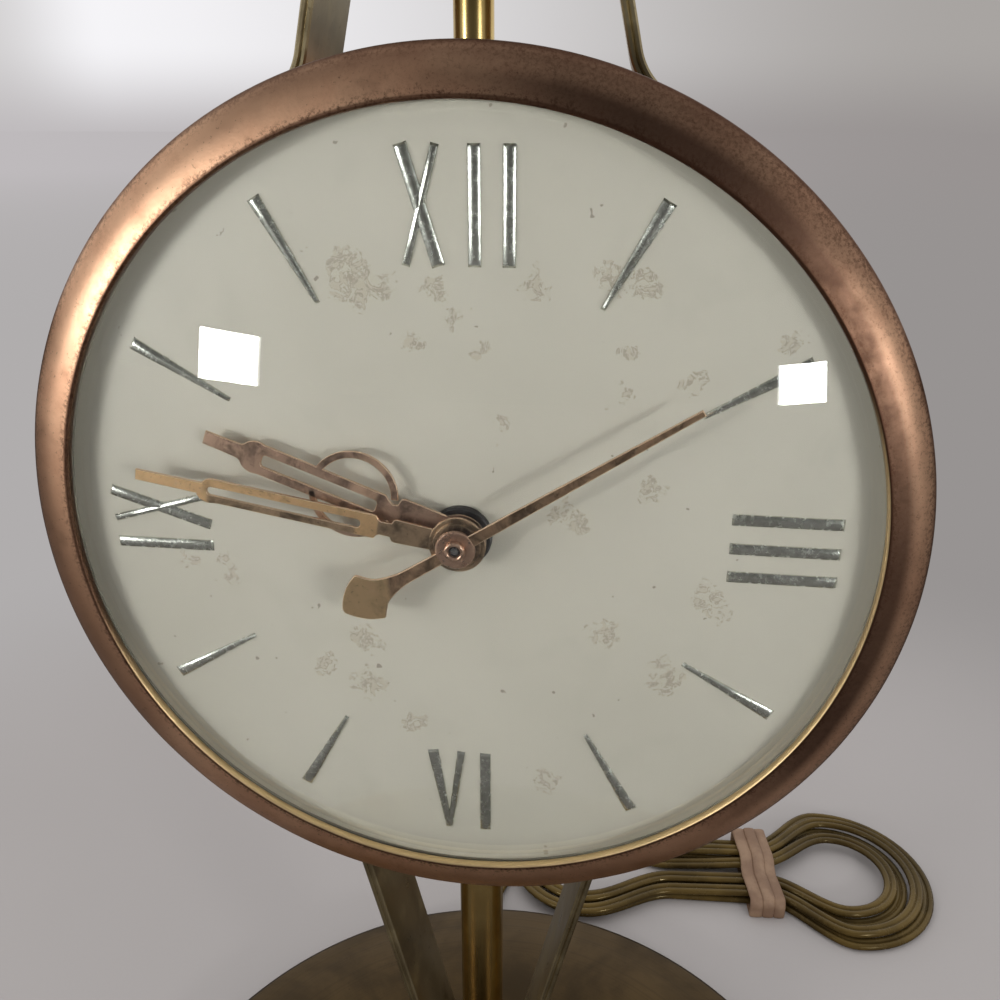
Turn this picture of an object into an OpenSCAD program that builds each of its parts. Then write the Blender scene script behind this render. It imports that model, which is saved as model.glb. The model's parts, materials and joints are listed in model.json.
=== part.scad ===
// Scales of justice clock: a round electric clock held between two lyre-shaped brass straps on a
// brass column, with a balance beam and two hanging pans above it and a mains lead tied in a hank.
// Millimetres. +Z is up, the dial faces -Y, and the origin is the centre of the base's underside.

/* [Base] */
// Diameter of the round brass base
base_d = 203; // [190:1:215]
// Height of the base's upright rim, felt included
base_rim_h = 10; // [8:0.5:14]
// Height of the base's domed top at its centre, felt included
base_top_h = 23; // [19:0.5:30]
// Radius of the rounded shoulder above the rim
base_shoulder_r = 5; // [3:0.5:7]
// Thickness of the spun sheet
base_sheet_t = 1.2; // [0.8:0.1:1.6]
// Thickness of the felt under the base
felt_t = 1.5; // [1:0.1:3]
// Diameter of the iron weight inside the base
weight_d = 150; // [120:1:170]
// Thickness of the iron weight
weight_t = 8; // [6:0.5:9]

/* [Stand] */
// Height of the dial's centre above the table
dial_h = 212; // [205:1:225]
// Outer diameter of the column below the case
lower_tube_d = 9.5; // [8.8:0.1:10]
// Outer diameter of the column above the case
upper_tube_d = 6.4; // [6.2:0.1:8]
// Wall of both column tubes
tube_wall = 0.7; // [0.5:0.05:0.8]
// Diameter of the threaded tie rods
rod_d = 4.7; // [4:0.1:4.8]
// Width of the brass straps, front to back
strap_w = 19; // [16:0.5:22]
// Thickness of the brass straps
strap_t = 2; // [1.5:0.1:2.4]
// Lean of the straps' straight stretches, sideways per unit of height
strap_lean = 0.229; // [0.21:0.005:0.26]
// Half-width of the straps' free stretches level with the case's edge, to the strap's middle
strap_neck_x = 25.4; // [23:0.2:28]
// Radius of the bend where a strap turns out round the case
strap_bend_r = 10; // [8:0.5:12]
// Length of a strap's upright end on its hub
strap_end_l = 20; // [18:1:24]
// Half the distance between the flats that the straps lie on
hub_flat_x = 7.6; // [7.4:0.1:8.5]
// Radius of the turned hubs
hub_r = 11; // [10.5:0.5:13]

/* [Case] */
// Diameter of the copper bezel
bezel_d = 150; // [148.5:0.5:156]
// Diameter of the opening in the bezel
lip_d = 134.8; // [130:0.2:136]
// Height of the bezel's inner lip in front of the dial
lip_h = 3.6; // [3.2:0.1:5]
// Height of the bezel's outer edge in front of the dial
rim_h = 3; // [2.6:0.1:3.4]
// How far the bezel's band bulges forward
bezel_crown = 0.9; // [0:0.1:1.5]
// Thickness of the bezel's copper
bezel_t = 0.8; // [0.6:0.1:1]
// Depth of the case drum
drum_depth = 38; // [36:0.5:46]
// Wall of the case drum
drum_wall = 1; // [0.8:0.1:1.2]
// Distance from the column's axis forward to the dial's face
dial_setback = 18; // [17:0.5:20]
// Thickness of the dial sheet
dial_t = 0.8; // [0.5:0.1:1]
// Thickness of the glass
glass_t = 1.4; // [1.2:0.1:2]
// Rise of the domed glass
glass_rise = 12; // [11:0.5:18]

/* [Dial and hands] */
// Radius of the hour marks' inner ends
mark_in_r = 44; // [40:0.5:46]
// Radius of the hour marks' outer ends
mark_out_r = 62; // [60:0.5:63]
// Width of a numeral's stroke
stroke_w = 2; // [1.4:0.1:2.4]
// Relief of the hour marks
mark_h = 0.5; // [0.3:0.1:0.8]
// Angle of the hour hand at rest, clockwise from XII
hour_angle = 291; // [0:1:359]
// Angle of the minute hand at rest, clockwise from XII
minute_angle = 280.3; // [0:0.1:359]
// Angle of the second hand at rest, clockwise from XII
second_angle = 57; // [0:1:359]
// Reach of the hour hand from the centre
hour_reach = 45.2; // [43:0.1:47]
// Reach of the minute hand from the centre
minute_reach = 55; // [52:0.1:56.5]
// Reach of the second hand from the centre
second_reach = 45; // [35:0.5:58]
// Thickness of the hands' sheet metal
hand_t = 0.5; // [0.4:0.05:0.6]

/* [Movement] */
// Half-width of the movement's plates
plate_x = 27; // [26:0.5:30]
// Half-height of the movement's plates
plate_z = 23; // [22:0.5:24]
// Thickness of the movement's plates
plate_t = 1.2; // [1:0.1:1.4]
// Gap between the two plates
plate_gap = 13.6; // [13.4:0.1:15]
// Distance from the centre to the third wheel's arbor
going_distance = 13.6; // [13.4:0.1:14]
// Distance from the centre to the setting shaft
motion_distance = 14.4; // [14.2:0.1:15]
// Distance from the centre to the motor's pinion
motor_distance = 10.5; // [10.2:0.1:11]
// Thickness of the gear wheels
wheel_t = 0.8; // [0.6:0.1:1]
// Radius of the sealed rotor unit
rotor_r = 13; // [12:0.5:14]
// Depth of the sealed rotor unit
rotor_l = 12; // [10:0.5:14]
// Diameter of the setting knob
knob_d = 16; // [14:0.5:18]
// Length of the setting knob
knob_l = 8; // [6:0.5:12]

/* [Scales] */
// Distance from the pivot to each pan's hanging point, sideways
beam_half = 152.5; // [149:0.5:158]
// Thickness of the beam, front to back
beam_t = 3; // [2.4:0.1:3.4]
// Height of the beam at its pivot
beam_mid_h = 8.4; // [8:0.2:9]
// Drop of the hanging points below the pivot
beam_drop = 5; // [4:0.5:7]
// How far each arm arches up between its ends
beam_arch = 8; // [4:0.5:12]
// Outer radius of the hanging pans
pan_r = 43.5; // [42:0.5:46]
// Depth of the pans' bowls
pan_depth = 15; // [12:0.5:20]
// Thickness of the pans' sheet
pan_t = 0.9; // [0.7:0.1:1.1]
// Links in each chain, an odd number
chain_links = 19; // [17:2:21]
// Inside length of a chain link
link_in_l = 6.4; // [6:0.1:7]
// Wire of the chain links
chain_wire = 1.1; // [1:0.05:1.2]
// Wire of the rings that the pans hang from
ring_wire = 1.5; // [1.3:0.05:1.6]
// Height of the finial above the fulcrum block
finial_h = 24; // [18:1:34]

/* [Cord] */
// Width of the two-core lead
cord_w = 4.8; // [4.4:0.1:4.9]
// Thickness of the two-core lead
cord_t = 2.6; // [2.4:0.1:2.7]
// Width of the bundle's rubber band
band_w = 13; // [10:1:14]

/* [Hidden] */

$fn = 64;
running = 0.05;   // radial clearance of a shaft in its hole
seat_gap = 0.1;   // clearance between curved pieces that lie on each other

// Colours of the finishes
brass = [0.66, 0.53, 0.28];
dark_brass = [0.42, 0.34, 0.2];
copper = [0.68, 0.44, 0.32];
steel = [0.62, 0.63, 0.65];
silver = [0.75, 0.77, 0.76];
ivory = [0.74, 0.73, 0.68];
black = [0.1, 0.09, 0.09];

// Base and stand
base_r = base_d / 2;
base_dome_h = base_top_h - base_rim_h;
centre_flat_r = 14;
dome_edge_r = base_r - base_shoulder_r;
function dome_z(r) = base_rim_h
    + base_dome_h * (1 - pow(max(r - centre_flat_r, 0) / (dome_edge_r - centre_flat_r), 2));
weight_clear = 0.2;
nut_r = 4.6;
nut_t = 3.6;
nut_recess_r = 8;
rod_end = 2;
hub_flange_r = 17;
hub_flange_t = 3;
strap_mid_x = hub_flat_x + strap_t / 2;
bezel_r = bezel_d / 2;
drum_r = bezel_r - 2 * bezel_t - 0.9;
wrap_r = drum_r + seat_gap + strap_t / 2 + 0.2;
drum_bottom = dial_h - drum_r;
drum_top = dial_h + drum_r;
// The straight stretch leans from the neck point to the hub's flat
meet_dz = drum_r + (strap_neck_x - strap_mid_x) / strap_lean;
foot_hub_top = dial_h - meet_dz;
foot_end = foot_hub_top - strap_end_l;
top_hub_bottom = dial_h + meet_dz;
top_hub_top = top_hub_bottom + strap_end_l;
screw_r = 1.4;
screw_l = strap_t + hub_flat_x - lower_tube_d / 2 - 0.25;
screw_head_r = 2.8;
screw_head_t = 1.6;

// Case
lip_r = lip_d / 2;
drum_inner_r = drum_r - drum_wall;
flange_in_r = 65.5;
dial_y = -dial_setback;
dial_back_y = dial_y + dial_t;
drum_back_y = dial_back_y + drum_depth;
disc_r = drum_inner_r - 0.3;
ring_bore_r = lip_r + 0.7;
glass_back_h = lip_h - bezel_t - glass_t - 0.05;
skirt_r = drum_r + seat_gap;
skirt_depth = 6;
cover_t = 1;
cover_raise = 3;
relief_y = 14;
relief_r = 4;
relief_tip_r = 3.2;
relief_l = 22;
relief_flange_r = 5;
relief_flange_t = 1.5;
relief_neck_gap = 0.2;
relief_top = drum_bottom + drum_wall + 0.1;
cord_exit_z = drum_bottom - relief_flange_t - relief_l;

// Heights in front of the dial's face
dial_nut_t = 1.2;
bush_end_h = 1.6;
hour_h = 2.1;
minute_h = 3.9;
second_h = 5.9;
hour_pipe_end_h = hour_h + hand_t + 0.2;
minute_pipe_end_h = minute_h + hand_t + 0.7;
second_pipe_end_h = 7.4;

// Radii of the concentric arbors and pipes
arbor_r = 0.6;
minute_bore_r = arbor_r + running;
minute_pipe_r = 1.3;
hour_bore_r = minute_pipe_r + running;
hour_pipe_r = 2.1;
bush_bore_r = hour_pipe_r + running;
bush_r = 3.6;
shaft_r = 1.2;

// Movement: places seen from the front, sideways and up from the dial's centre
third_angle = 150;
setting_angle = 30;
third_pos = going_distance * [cos(third_angle), sin(third_angle)];
setting_pos = motion_distance * [cos(setting_angle), sin(setting_angle)];
motor_pos = [0, -motor_distance];
front_plate_y = dial_back_y + plate_t;
back_plate_y = front_plate_y + plate_gap;
layer_hour = front_plate_y + 1.4;
layer_minute = front_plate_y + 3.2;
layer_centre = front_plate_y + 5.4;
layer_third = front_plate_y + 8.4;
layer_seconds = front_plate_y + 11.8;
pinion_t = 1.6;
pillar_r = 2.2;
pillar_bore_r = 1.05;
pillar_x = plate_x - 3.5;
pillar_z = plate_z - 3.5;
small_r = 1;
small_l = 2.4;
small_head_r = 1.9;
small_head_t = 1.2;

// Teeth
seconds_pinion_n = 8;
third_wheel_n = 60;
third_pinion_n = 8;
centre_wheel_n = 64;
cannon_n = 12;
minute_wheel_n = 36;
minute_pinion_n = 10;
hour_wheel_n = 40;
motor_pinion_n = 10;
seconds_wheel_n = 60;
seconds_module = 2 * motor_distance / (motor_pinion_n + seconds_wheel_n);
third_module = 2 * going_distance / (seconds_pinion_n + third_wheel_n);
centre_module = 2 * going_distance / (third_pinion_n + centre_wheel_n);
cannon_module = 2 * motion_distance / (cannon_n + minute_wheel_n);
hour_module = 2 * motion_distance / (minute_pinion_n + hour_wheel_n);

// Stator
arm_w = 6;
stator_t = 8;
arm_x = rotor_r + 0.3;
yoke_z = -37;
yoke_h = 6;
coil_r = 10;
coil_l = 24;

// Scales
pin_r = 1.5;
block_r = 8;
block_base_h = 7.2;
block_cap_h = 5.2;
// The slot clears the beam when it rocks this many degrees to a side
beam_rock = 8;
slot_clear = 0.4;
beam_rise = beam_arch * sin(180 * block_r / beam_half);
slot_half = beam_mid_h / 2 + beam_rise + block_r * sin(beam_rock) + slot_clear;
pivot_z = top_hub_top + block_base_h + slot_half;
block_top = pivot_z + slot_half + block_cap_h;
slot_y = beam_t / 2 + 0.7;
eye_r = 4.2;
eye_bore_r = ring_wire / 2 + 0.85;
eye_z = pivot_z - beam_drop;
beam_end_h = 3.8;
ring_r = 4.2;
ring_step = ring_wire + 0.15;
// The ring's wire rests on the edges of the eye, which its curve meets off its lowest point
ring_inner_r = ring_r - ring_wire / 2;
link_top_z = eye_z - eye_bore_r + ring_r - sqrt(pow(ring_inner_r, 2) - pow(beam_t / 2, 2)) + 0.05;
link_bottom_z = link_top_z - 2 * ring_r;
hook_bottom_z = link_bottom_z + ring_step - 2 * ring_r;
hanger_r = 3.6;
hanger_bottom_z = hook_bottom_z + ring_step - 2 * hanger_r;
plate_z_top = hanger_bottom_z - 3.4;
hang_plate_t = 1.2;
link_half_w = 1.75;
chain_top_r = 4.4;
chain_hole_r = 1.2;
foot_inset = 0.25;
foot_sink = 0.25;
chain_foot_r = pan_r - foot_inset;
chain_top_z = plate_z_top + chain_wire / 2 + 0.1;
link_gap = 0.2;
chain_pitch = link_in_l - link_gap;
chain_l = chain_links * chain_pitch + chain_wire + link_gap;
chain_run = chain_foot_r - chain_top_r;
chain_foot_z = chain_top_z - sqrt(pow(chain_l, 2) - pow(chain_run, 2));
chain_tilt = asin(chain_run / chain_l);
// The last link's lower bend goes round the pan's flange, between its hole and its edge
foot_bend_r = chain_foot_r - link_half_w * sin(chain_tilt);
rim_z = chain_foot_z + link_half_w * cos(chain_tilt) - foot_sink + pan_t / 2;
pan_hole_r = 2 * foot_bend_r - pan_r - chain_hole_r;
bowl_r = pan_r - 5;

// Cord: the route from the case to the hank, chosen by hand, and the hank's measures
floor_z = cord_t / 2 + 0.15;
dome_rest = cord_t / 2 + 0.2;
drop_floor_z = base_top_h + 12;
drop_points = concat(
    [[0, relief_y, cord_exit_z]],
    [for (k = [[0, 0.1], [-0.4, 0.26], [-0.9, 0.44], [-1.5, 0.62], [-2.1, 0.8]])
        [k[0], relief_y, cord_exit_z + k[1] * (drop_floor_z - cord_exit_z)]],
    [[-2.8, relief_y + 1.5, drop_floor_z + 1.5], [-3.6, relief_y + 6, base_top_h + 6],
     [-4.6, relief_y + 13.5, base_top_h + 2.6]],
    [for (k = [[-5.6, 0.36], [-7, 0.47], [-8.4, 0.58], [-9.8, 0.69], [-11, 0.8], [-12, 0.9]])
        [k[0], k[1] * base_r, dome_z(norm([k[0], k[1] * base_r])) + dome_rest]],
    [[-12.6, base_r - 3, base_rim_h + 1.3], [-12.8, base_r + 3.4, base_rim_h - 2.6],
     [-12.4, base_r + 9.5, 3.2], [-11, base_r + 16.5, 1.8], [-8.9, base_r + 23.5, floor_z]]);
hank_centre = [68, base_r + 34.5];
hank_turn = 4;
hank_left = 48;
hank_right = 51;
left_ramp = 34;
right_ramp = 30;
left_fold_r = 14.4;
right_fold_r = 17;
waist_half = 2.9;
loop_step = 6.3;
right_step = 9.2;
layer_step = 3.1;
hank_turns = 4;
turn_back = 2.245;
rings_per_turn = 24;
climb_span = 0.2;
tail_bend_r = 25;
plug_l = 30;
plug_w = 26;
plug_t = 16;
plug_u = -41;
plug_v = 59;

// Marks where a drawing seen from the front is set into the part; it grows towards the viewer
module on_dial(y_back, at = [0, 0]) {
    translate([at[0], y_back, dial_h + at[1]]) rotate([90, 0, 0]) children();
}

module disc(y_back, y_front, r, at = [0, 0]) {
    on_dial(y_back, at) cylinder(h = y_back - y_front, r = r);
}

module tube(z0, z1, r_out, r_in) {
    translate([0, 0, z0]) difference() {
        cylinder(h = z1 - z0, r = r_out);
        translate([0, 0, -1]) cylinder(h = z1 - z0 + 2, r = r_in);
    }
}

// Gear outline with straight-sided teeth; one tooth stands at the phase angle
module gear_outline(n, m, phase) {
    r = n * m / 2;
    root = r - 1.15 * m;
    tip = r + 0.85 * m;
    polygon([for (i = [0 : n - 1]) for (c = [[-0.29, root], [-0.11, tip], [0.11, tip], [0.29, root]])
        c[1] * [cos(phase + (i + c[0]) * 360 / n), sin(phase + (i + c[0]) * 360 / n)]]);
}

module gear(n, m, phase, y_mid, t, at, bore) {
    on_dial(y_mid + t / 2, at) difference() {
        linear_extrude(t) gear_outline(n, m, phase);
        translate([0, 0, -1]) cylinder(h = t + 2, r = bore);
    }
}

function arc(c, r, a0, a1, n) = [for (i = [0 : n]) let (a = a0 + (a1 - a0) * i / n)
    c + r * [cos(a), sin(a)]];

// Base

// Outer or inner skin of the domed base, as a solid from the table up
module base_skin(r, rim, shoulder, top) {
    profile_r = r - shoulder;
    rise = top - rim;
    rotate_extrude($fn = 128) polygon(concat(
        [[0, felt_t], [r, felt_t]],
        arc([profile_r, rim - shoulder], shoulder, 0, 70, 7),
        [for (i = [1 : 9]) let (x = (profile_r - centre_flat_r) * (1 - i / 10))
            [centre_flat_r + x, rim + rise * (1 - pow(x / (profile_r - centre_flat_r), 2))]],
        [[centre_flat_r, top], [0, top]]));
}

module base_felt() {
    color(black) difference() {
        cylinder(h = felt_t, r = base_r, $fn = 128);
        translate([0, 0, -1]) cylinder(h = felt_t + 2, r = nut_recess_r);
    }
}

module base_dish() {
    color(brass) difference() {
        base_skin(base_r, base_rim_h, base_shoulder_r, base_top_h);
        base_skin(base_r - base_sheet_t, base_rim_h - base_sheet_t,
            base_shoulder_r - base_sheet_t, base_top_h - base_sheet_t);
        translate([0, 0, -1]) cylinder(h = base_top_h + 2, r = rod_d / 2 + running);
    }
}

module base_weight() {
    boss_top = base_top_h - base_sheet_t;
    color("dimgray") difference() {
        union() {
            translate([0, 0, felt_t]) cylinder(h = weight_t, r = weight_d / 2);
            translate([0, 0, felt_t]) cylinder(h = boss_top - felt_t, r = centre_flat_r - 1);
        }
        cylinder(h = felt_t + nut_t + rod_end, r = nut_recess_r);
        translate([0, 0, -1]) cylinder(h = boss_top + 2, r = rod_d / 2 + running);
    }
}

// Stand

module foot_hub() {
    color(brass) difference() {
        intersection() {
            union() {
                translate([0, 0, base_top_h]) cylinder(h = foot_hub_top - base_top_h, r = hub_r);
                translate([0, 0, base_top_h]) cylinder(h = hub_flange_t, r = hub_flange_r);
            }
            union() {
                translate([-hub_flat_x, -hub_r, base_top_h])
                    cube([2 * hub_flat_x, 2 * hub_r, foot_hub_top - base_top_h]);
                translate([0, 0, base_top_h]) cylinder(h = foot_end - base_top_h, r = hub_flange_r);
            }
        }
        translate([0, 0, base_top_h - 1])
            cylinder(h = foot_hub_top - base_top_h + 2, r = lower_tube_d / 2 + running);
        hub_screw_holes(foot_hub_top - strap_end_l / 2);
    }
}

module hub_screw_holes(z) {
    translate([-hub_r - 1, 0, z]) rotate([0, 90, 0]) cylinder(h = 2 * hub_r + 2, r = screw_r + running);
}

module lower_column() {
    color(dark_brass) tube(base_top_h, drum_bottom - seat_gap, lower_tube_d / 2,
        lower_tube_d / 2 - tube_wall);
}

module lower_tie_rod() {
    color(steel) translate([0, 0, felt_t + rod_end])
        cylinder(h = drum_bottom + drum_wall + nut_t + rod_end - felt_t - rod_end, r = rod_d / 2);
}

module upper_column() {
    color(brass) tube(drum_top + seat_gap, top_hub_top, upper_tube_d / 2, upper_tube_d / 2 - tube_wall);
}

module upper_tie_rod() {
    rod_bottom = drum_top - drum_wall - nut_t - rod_end;
    color(steel) translate([0, 0, rod_bottom])
        cylinder(h = top_hub_top + block_base_h - 2 - rod_bottom, r = rod_d / 2);
}

module rod_nut(z) {
    translate([0, 0, z]) difference() {
        cylinder(h = nut_t - seat_gap, r = nut_r, $fn = 6);
        translate([0, 0, -1]) cylinder(h = nut_t + 2, r = rod_d / 2 + running);
    }
}

module rod_nuts() {
    color(steel) {
        rod_nut(felt_t + rod_end);
        rod_nut(drum_bottom + drum_wall + 0.35);
        rod_nut(drum_top - drum_wall - 0.25 - nut_t);
    }
}

module top_hub() {
    color(brass) difference() {
        intersection() {
            translate([0, 0, top_hub_bottom]) cylinder(h = strap_end_l, r = hub_r);
            translate([-hub_flat_x, -hub_r, top_hub_bottom])
                cube([2 * hub_flat_x, 2 * hub_r, strap_end_l]);
        }
        translate([0, 0, top_hub_bottom - 1]) cylinder(h = strap_end_l + 2, r = upper_tube_d / 2 + running);
        hub_screw_holes(top_hub_bottom + strap_end_l / 2);
    }
}

// Middle line of the right strap above the dial's centre, from 3 o'clock to its end on the hub
lean_angle = atan(strap_lean);
lean_reach = strap_neck_x * cos(lean_angle) + drum_r * sin(lean_angle);
turn_start = lean_angle + acos((lean_reach + strap_bend_r) / (wrap_r + strap_bend_r));
turn_point = wrap_r * [cos(turn_start), sin(turn_start)];
turn_centre = turn_point + strap_bend_r * [cos(turn_start), sin(turn_start)];
turn_end = turn_centre - strap_bend_r * [cos(lean_angle), sin(lean_angle)];
half_line = concat(
    [for (i = [0 : 24]) let (a = turn_start * i / 24) wrap_r * [cos(a), sin(a)]],
    [for (i = [1 : 8]) let (a = turn_start + 180 + (lean_angle - turn_start) * i / 8)
        turn_centre + strap_bend_r * [cos(a), sin(a)]],
    [[strap_mid_x + 0.5 * strap_lean, meet_dz - 0.5], [strap_mid_x, meet_dz + 0.5]],
    [[strap_mid_x, meet_dz + strap_end_l]]);
strap_line = concat([for (i = [len(half_line) - 1 : -1 : 1]) [half_line[i][0], -half_line[i][1]]],
    half_line);

function unit(v) = v / norm(v);
function side_of(line, i) = let (d = unit(unit(line[min(i + 1, len(line) - 1)] - line[i] + 1e-9 * [0, 1])
    + unit(line[i] - line[max(i - 1, 0)] + 1e-9 * [0, 1]))) [d[1], -d[0]];
function offset_line(line, w) = [for (i = [0 : len(line) - 1]) line[i] + w * side_of(line, i)];

module strap() {
    outer = offset_line(strap_line, strap_t / 2);
    inner = offset_line(strap_line, -strap_t / 2);
    difference() {
        translate([0, strap_w / 2, dial_h]) rotate([90, 0, 0]) linear_extrude(strap_w)
            polygon(concat(outer, [for (i = [len(inner) - 1 : -1 : 0]) inner[i]]));
        for (z = [foot_hub_top - strap_end_l / 2, top_hub_bottom + strap_end_l / 2])
            translate([0, 0, z]) rotate([0, 90, 0]) cylinder(h = hub_r + 10, r = screw_r + running);
        translate([drum_r - 3, 0, dial_h]) rotate([0, 90, 0]) cylinder(h = 10, r = screw_r + running);
    }
}

module right_strap() {
    color(brass) strap();
}

module left_strap() {
    color(brass) mirror([1, 0, 0]) strap();
}

module strap_screw(x, z) {
    translate([x - screw_l, 0, z]) rotate([0, 90, 0]) cylinder(h = screw_l, r = screw_r);
    translate([x, 0, z]) rotate([0, 90, 0]) cylinder(h = screw_head_t, r = screw_head_r);
}

module strap_screws() {
    color(dark_brass) for (s = [0, 1]) mirror([s, 0, 0]) {
        strap_screw(hub_flat_x + strap_t, foot_hub_top - strap_end_l / 2);
        strap_screw(hub_flat_x + strap_t, top_hub_bottom + strap_end_l / 2);
        strap_screw(wrap_r + strap_t / 2, dial_h);
    }
}

// Case

module case_drum() {
    depth = drum_back_y - dial_back_y;
    color(copper) difference() {
        disc(drum_back_y, dial_back_y, drum_r);
        disc(drum_back_y - drum_wall, dial_back_y + drum_wall, drum_inner_r);
        disc(drum_back_y + 1, dial_back_y - 1, flange_in_r);
        translate([0, 0, dial_h - drum_r - 1]) cylinder(h = 2 * drum_r + 2, r = rod_d / 2 + running);
        translate([0, relief_y, drum_bottom - 1]) cylinder(h = 4, r = relief_r);
        translate([-drum_r - 1, 0, dial_h]) rotate([0, 90, 0])
            cylinder(h = 2 * drum_r + 2, r = screw_r + running);
        for (a = [90 : 120 : 330]) cover_screw_hole(a);
    }
}

cover_screw_r = drum_inner_r - 2.5;

module cover_screw_hole(a) {
    disc(drum_back_y + 3, drum_back_y - drum_wall - 1, small_r + running,
        cover_screw_r * [cos(a), sin(a)]);
}

module bezel() {
    back_h = lip_h - bezel_t;
    crown_n = 8;
    color(copper) on_dial(dial_y) rotate_extrude($fn = 180) polygon(concat(
        [[lip_r, back_h], [skirt_r, back_h], [skirt_r, -skirt_depth],
         [skirt_r + bezel_t, -skirt_depth], [skirt_r + bezel_t, rim_h - bezel_t - 0.2],
         [bezel_r - bezel_t, rim_h - bezel_t - 0.2], [bezel_r - bezel_t, -0.5], [bezel_r, -0.5],
         [bezel_r, rim_h]],
        [for (i = [1 : crown_n - 1]) let (k = i / crown_n)
            [bezel_r + (lip_r - bezel_r) * k,
             rim_h + (lip_h - rim_h) * k + bezel_crown * 4 * k * (1 - k)]],
        [[lip_r, lip_h]]));
}

// Height of the glass's outer face in front of the dial, at a distance from its axis
glass_edge_r = lip_r - 0.3;
glass_sphere_r = (pow(glass_edge_r, 2) + pow(glass_rise, 2)) / (2 * glass_rise);
function glass_h(r) = glass_back_h + glass_t + glass_rise - glass_sphere_r
    + sqrt(pow(glass_sphere_r, 2) - pow(r, 2));

module glass() {
    n = 16;
    inner_edge_r = glass_edge_r - glass_t / 2;
    color([0.85, 0.92, 0.92, 0.35]) on_dial(dial_y) rotate_extrude($fn = 128) polygon(concat(
        [[disc_r, glass_back_h], [disc_r, glass_back_h + glass_t]],
        [for (i = [n : -1 : 0]) let (r = glass_edge_r * i / n) [r, glass_h(r)]],
        [for (i = [0 : n]) let (r = inner_edge_r * i / n) [r, max(glass_h(r) - glass_t, glass_back_h)]]));
}

module dial_ring() {
    color(dark_brass) on_dial(dial_y) difference() {
        cylinder(h = glass_back_h, r = disc_r);
        translate([0, 0, -1]) cylinder(h = glass_back_h + 2, r = ring_bore_r);
    }
}

module dial() {
    color(ivory) difference() {
        disc(dial_back_y, dial_y, disc_r);
        disc(dial_back_y + 1, dial_y - 1, bush_r + running);
    }
}

// A straight stroke between two points, of one or two widths
module stroke(a, b, wa, wb) {
    n = let (d = unit(b - a)) [-d[1], d[0]];
    polygon([a + n * wa / 2, a - n * wa / 2, b - n * wb / 2, b + n * wb / 2]);
}

module baton() {
    stroke([0, mark_in_r], [0, mark_out_r], 0.8, 2.2);
}

// Strokes of the four numerals, upright and seen from the front, drawn at their own places
numeral_half = (mark_out_r - mark_in_r - 0.6) / 2;
numeral_mid = (mark_out_r + mark_in_r) / 2 - 0.3;

module numeral_stroke(x0, x1) {
    stroke([x0, -numeral_half], [x1, numeral_half], stroke_w, stroke_w);
}

module numeral_v(x) {
    stroke([x, -numeral_half], [x - 2.6, numeral_half], stroke_w / 2, stroke_w);
    stroke([x, -numeral_half], [x + 2.6, numeral_half], stroke_w / 2, stroke_w * 0.7);
}

module numeral_x(x) {
    numeral_stroke(x - 2.7, x + 2.7);
    numeral_stroke(x + 2.7, x - 2.7);
}

module hour_marks() {
    color(silver) on_dial(dial_y) linear_extrude(mark_h) {
        for (h = [1, 2, 4, 5, 7, 8, 10, 11]) rotate(-30 * h) baton();
        translate([0, numeral_mid]) {
            numeral_x(-5.5);
            numeral_stroke(2.7, 2.7);
            numeral_stroke(7.9, 7.9);
        }
        rotate(-90) translate([0, numeral_mid]) for (x = [-5.1, 0, 5.1]) numeral_stroke(x, x);
        translate([0, -numeral_mid]) {
            numeral_v(-3.2);
            numeral_stroke(3.8, 3.8);
        }
        rotate(90) translate([0, numeral_mid]) {
            numeral_stroke(-4.6, -4.6);
            numeral_x(2.3);
        }
    }
}

module dial_nut() {
    color(black) on_dial(dial_y) difference() {
        cylinder(h = dial_nut_t, r = 5.3);
        translate([0, 0, -1]) cylinder(h = dial_nut_t + 2, r = bush_r + running);
    }
}

bracket_leg_x = plate_x - 6;
bracket_half = 6;
bracket_tab_x = sqrt(pow(drum_inner_r, 2) - pow(bracket_half, 2)) - 0.05;
bracket_screw_x = plate_x - 3;

module mount_bracket() {
    difference() {
        union() {
            translate([bracket_leg_x, front_plate_y, dial_h - bracket_half])
                cube([bracket_tab_x - bracket_leg_x, plate_t, 2 * bracket_half]);
            translate([bracket_tab_x - plate_t, front_plate_y, dial_h - bracket_half])
                cube([plate_t, bracket_half - front_plate_y, 2 * bracket_half]);
        }
        disc(front_plate_y + plate_t + 1, front_plate_y - 1, small_r + running, [bracket_screw_x, 0]);
        translate([bracket_tab_x - 5, 0, dial_h]) rotate([0, 90, 0])
            cylinder(h = 10, r = screw_r + running);
    }
}

module mount_brackets() {
    color(steel) for (s = [0, 1]) mirror([s, 0, 0]) mount_bracket();
}

module rear_cover() {
    inner_rim = 60;
    vent_r = 2;
    color(copper) difference() {
        on_dial(drum_back_y) rotate_extrude($fn = 128) polygon([
            [0, -cover_raise], [inner_rim - 3, -cover_raise], [inner_rim, 0], [drum_r - 0.5, 0],
            [drum_r - 0.5, -cover_t], [inner_rim + 0.4, -cover_t],
            [inner_rim - 2.6, -cover_raise - cover_t], [0, -cover_raise - cover_t]]);
        disc(drum_back_y + 10, drum_back_y - 1, shaft_r + 0.8, setting_pos);
        for (a = [240 : 15 : 300]) disc(drum_back_y + 10, drum_back_y - 1, vent_r, 48 * [cos(a), sin(a)]);
        for (a = [60 : 15 : 120]) disc(drum_back_y + 10, drum_back_y - 1, vent_r, 48 * [cos(a), sin(a)]);
        for (a = [90 : 120 : 330]) cover_screw_hole(a);
    }
}

// Screw of the one small size, its head's seat at y_seat and its shank towards the viewer
module small_screw(y_seat, at) {
    disc(y_seat, y_seat - small_l, small_r, at);
    disc(y_seat + small_head_t, y_seat, small_head_r, at);
}

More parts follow.
